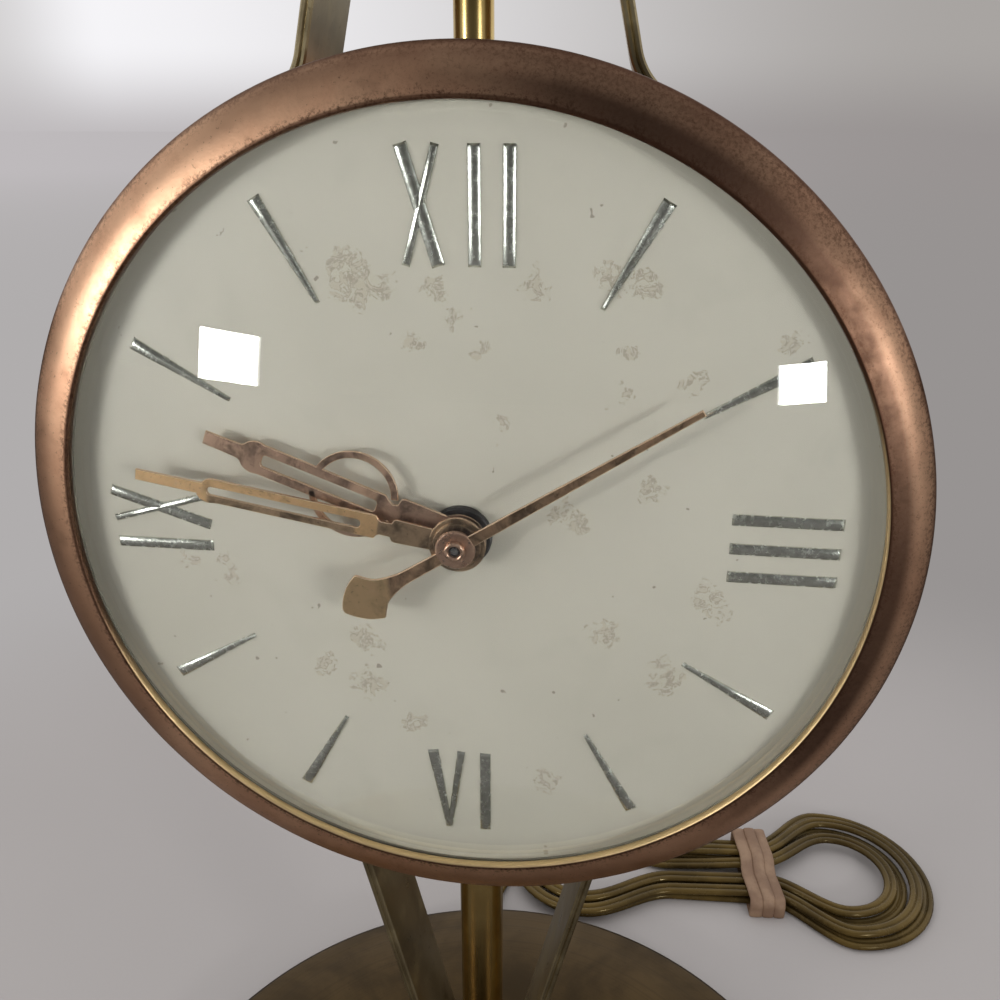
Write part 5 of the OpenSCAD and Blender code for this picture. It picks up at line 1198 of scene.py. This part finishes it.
# heights of the small plate that holds the chains, from its upper face
holder = [(0, -1.2), (5.0, -1.2), (5.3, -0.9), (5.3, -0.3), (5.0, 0), (1.6, 0), (1.1, 0.5),
          (1.1, HANGER_Z - PLATE_Z), (0, HANGER_Z - PLATE_Z)]
for s, side, metal in ((-1, "left", SPUN_PAN_LEFT), (1, "right", SPUN_PAN)):
    x = s * PAN_X
    parts = [ring((x, 0, HANGER_Z + HANGER_R), HANGER_R, RING_WIRE, Y, Z, 40, 10),
             lathe([(r, PLATE_Z + h) for r, h in holder], 40, (x, 0.0))]
    for degrees in (90, 210, 330):
        c, sn = polar(1, degrees)
        outward, across = Vector((c, sn, 0)), Vector((-sn, c, 0))
        down_dir = (outward * math.sin(TILT) - Z * math.cos(TILT)).normalized()
        flat_dir = (outward * math.cos(TILT) + Z * math.sin(TILT)).normalized()
        start = Vector((x, 0, CHAIN_TOP_Z)) + outward * CHAIN_TOP_R
        parts += [chain_link(start + down_dir * (i * PITCH), down_dir, flat_dir if i % 2 == 0 else across)
                  for i in range(LINKS)]
    build(side + "_chain_set", parts, BRASS, side + "_scale", (side + "_chains",), sharp=60)
    build(side + "_pan_bowl", [bowl(x)], metal, side + "_scale", (side + "_pan",), sharp=50)

# ---- stage and light
FLOOR_HALF, FLOOR = 30.0, (178, 173, 171)
NEAR_LEFT, NEAR_RIGHT = (176, 173, 173), (151, 147, 146)
FAR_LEFT, FAR_RIGHT = (190, 186, 188), (152, 147, 146)


def stage_floor():
    """A pale floor that keeps the object's shadow; far off it glows for the camera with painted light, lighter at
    the left, and runs into the background.
    """
    m = Material("floor_paint", Roughness=0.7, Specular_IOR_Level=0.3)
    m.colour(m.coat(FLOOR, (m.mask(m.noise(6.0, 3.0, 0.5), 0.3, 0.7), scaled(FLOOR, 0.985)),
                    (m.mask(m.noise(900.0, 3.0, 0.6), 0.5, 0.75, 0.12), scaled(FLOOR, 0.93))))
    reach = m.radius((0.0, 0.0, 0.0), (1.0, 1.0, 0.0))
    side = m.mask(m.calc("DIVIDE", m.split(m.place)[0], reach), -0.6, 0.35)
    # painted light: far off, the floor glows for the camera, lighter at the left and darker at the right
    glow = m.add("ShaderNodeEmission")
    m.put(m.mix(m.mask(reach, 1.0, 7.0), m.mix(side, NEAR_LEFT, NEAR_RIGHT), m.mix(side, FAR_LEFT, FAR_RIGHT)),
          glow.inputs["Color"])
    # painted shade: in reflections the floor shows as a darker grey
    dark = m.add("ShaderNodeBsdfDiffuse")
    m.put((104, 100, 98), dark.inputs["Color"])
    path = m.add("ShaderNodeLightPath").outputs
    far = m.times(m.mask(reach, 0.26, 0.5), path["Is Camera Ray"])
    m.surface(m.mix_shader(path["Is Glossy Ray"], m.mix_shader(far, m.bsdf.outputs[0], glow.outputs[0]),
                           dark.outputs[0]))
    mesh = bpy.data.meshes.new("floor")
    mesh.from_pydata([Vector((x, y, 0)) * FLOOR_HALF for x, y in ((-1, -1), (1, -1), (1, 1), (-1, 1))],
                     [], [(0, 1, 2, 3)])
    mesh.materials.append(m.data)
    floor = bpy.data.objects.new("floor", mesh)
    bpy.context.collection.objects.link(floor)
    floor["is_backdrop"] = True


stage_floor()

world = bpy.data.worlds.new("studio")
bpy.context.scene.world = world
world.use_nodes = True
sky = Nodes(world.node_tree)
to_right, to_back, to_up = sky.split(sky.add("ShaderNodeTexCoord").outputs["Generated"])
path = sky.add("ShaderNodeLightPath").outputs
# what the camera sees: a wall that brightens upwards at the left
left_share = sky.mask(to_right, -0.55, 0.3, 0.0, 1.0)
corner = sky.times(left_share, sky.mask(to_right, -0.56, -0.47, 1.0, 0.48))
high_up = sky.mix(corner, (168, 164, 161), (247, 246, 249))
seen = sky.mix(sky.mask(to_up, -0.02, 0.07), sky.mix(left_share, FAR_RIGHT, FAR_LEFT), high_up)
# what lights the part, and what shiny surfaces mirror: dark at the camera's side
studio = sky.mix(sky.mask(to_up, -0.1, 0.95), (0.30, 0.29, 0.29, 1.0), (0.98, 0.98, 0.99, 1.0))
mirrored = sky.mix(sky.mask(to_back, -0.9, 0.2, 0.0, 1.0), (0.75, 0.74, 0.73, 1.0), (0.07, 0.066, 0.063, 1.0))
lit = sky.mix(path["Is Glossy Ray"], studio, mirrored)
background = world.node_tree.nodes["Background"]
sky.put(sky.mix(path["Is Camera Ray"], lit, seen), background.inputs["Color"])
background.inputs["Strength"].default_value = 1.0


def area(name, place, aim, size, power, colour=(1.0, 1.0, 1.0)):
    """A rectangular lamp that faces a place."""
    lamp = bpy.data.lights.new(name, "AREA")
    lamp.shape = "RECTANGLE"
    lamp.size, lamp.size_y = size
    lamp.energy = power
    lamp.color = colour
    ob = bpy.data.objects.new(name, lamp)
    bpy.context.collection.objects.link(ob)
    ob.location = place
    ob.rotation_mode = "QUATERNION"
    ob.rotation_quaternion = (Vector(aim) - Vector(place)).to_track_quat("-Z", "Y")


# Two panels, level with the dial on its left and right
MIDDLE, PANEL_OFF = Vector((0.0, DIAL_Y, DIAL_H)) * MM, 0.65
area("left_panel", MIDDLE + Vector((-0.705, -0.703, 0.094)) * PANEL_OFF, MIDDLE, (0.11, 0.08), 1.2,
     (1.0, 0.99, 0.975))
area("right_panel", MIDDLE + Vector((0.698, -0.713, 0.068)) * PANEL_OFF, MIDDLE, (0.08, 0.064), 0.95)

bpy.context.scene.view_settings.view_transform = "Standard"

low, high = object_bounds()
